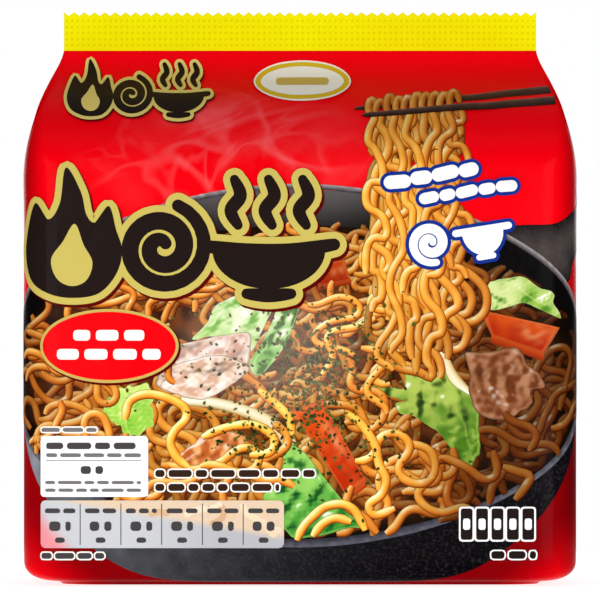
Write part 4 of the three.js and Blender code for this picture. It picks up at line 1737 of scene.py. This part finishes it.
def stage():
    """A pale round floor that glows, less right round the pack: a painted contact shadow."""
    mesh = bpy.data.meshes.new("floor")
    rim = oval((0, 0), (FLOOR_RADIUS, FLOOR_RADIUS))
    mesh.from_pydata([(x, y, 0) for x, y in rim], [], [list(range(len(rim)))])
    look = Surface("pale_floor")
    glow = look.ramp(look.oval_distance((0, 0, 0), FLOOR_SHADE), 1.0, 2.0, SHADE_GLOW, FLOOR_GLOW)
    look.paint({"Base Color": (FLOOR_GREY, FLOOR_GREY, FLOOR_GREY, 1), "Roughness": 0.9})
    look.paint({"Specular IOR Level": 0, "Emission Color": (1, 1, 1, 1), "Emission Strength": glow})
    mesh.materials.append(look.material)
    floor = bpy.data.objects.new("floor", mesh)
    floor.location.z = -FLOOR_DROP
    bpy.context.scene.collection.objects.link(floor)


def area_light(name, azimuth, elevation, distance, size, power):
    """A soft square light that looks at the pack's middle. Azimuth 0 is in front."""
    data = bpy.data.lights.new(name, "AREA")
    data.shape, data.size, data.energy = "SQUARE", size, power
    light = bpy.data.objects.new(name, data)
    a, e = math.radians(azimuth), math.radians(elevation)
    back = Vector((math.sin(a) * math.cos(e), -math.cos(a) * math.cos(e), math.sin(e)))
    light.location = Vector((0, 0, HEIGHT / 2 * MM)) + back * distance
    light.rotation_euler = (-back).to_track_quat("-Z", "Y").to_euler()
    bpy.context.scene.collection.objects.link(light)


def studio():
    """The lights, and a world that glows faintly but looks white to the camera."""
    world = bpy.data.worlds.new("studio")
    world.use_nodes = True
    nodes = Nodes(world.node_tree)
    seen = nodes.add("ShaderNodeLightPath").outputs["Is Camera Ray"]
    shade = nodes.mix(seen, (WORLD_GLOW, WORLD_GLOW, WORLD_GLOW, 1), (1, 1, 1, 1))
    nodes.feed(world.node_tree.nodes["Background"].inputs["Color"], shade)
    bpy.context.scene.world = world
    for light in LIGHTS:
        area_light(*light)


def camera():
    """A camera far in front, level with the pack's middle."""
    data = bpy.data.cameras.new("camera")
    data.sensor_width = CAMERA_SENSOR
    data.lens = CAMERA_LENS
    view = bpy.data.objects.new("camera", data)
    view.location = (0, -CAMERA_DISTANCE, CAMERA_HEIGHT)
    view.rotation_euler = (math.radians(90), 0, 0)
    bpy.context.scene.collection.objects.link(view)
    bpy.context.scene.camera = view


def build():
    """The bag, then its print from the front's picture to the back's panels."""
    painted = painted_film("picture_print", haze=HAZE_STRENGTH)
    iron = painted_film("pan_print", grain=GRAIN_STRENGTH)
    flat = painted_film("label_print")
    yellow = yellow_film()
    film_body(red_film())
    top_seal(yellow)
    folded_seal(yellow)
    back_seam(flat)

    rng = np.random.default_rng(7)
    lift = dish(Layers(), rng, iron, painted)

    title = Ink("print_title_sign", flat)
    title_sign(title, 1.0, (0.0, 0.0), 2.3, PALE_GOLD, lift, 0.9)
    title_sign(title, SMALL_TITLE, SMALL_TITLE_PLACE, 1.1, SMALL_GOLD, lift, 0.55)
    title.print()

    front_labels = Ink("print_labels", flat)
    labels(front_labels, rng, lift)
    pack_icons(front_labels, rng, lift)
    slogan(front_labels, rng, lift)
    front_labels.print()

    for name, home, low, high in SIDE_PANELS:
        side_print = Ink(name, flat, home)
        panel(side_print, low, high, rng)
        side_print.print()
    back_print = Ink("print_back_panels", flat, BACK)
    for low, high in BACK_PANELS:
        panel(back_print, low, high, rng)
    cooking_signs(back_print)
    back_print.print()


build()
stage()
studio()
camera()
bpy.context.scene.view_settings.view_transform = "Standard"
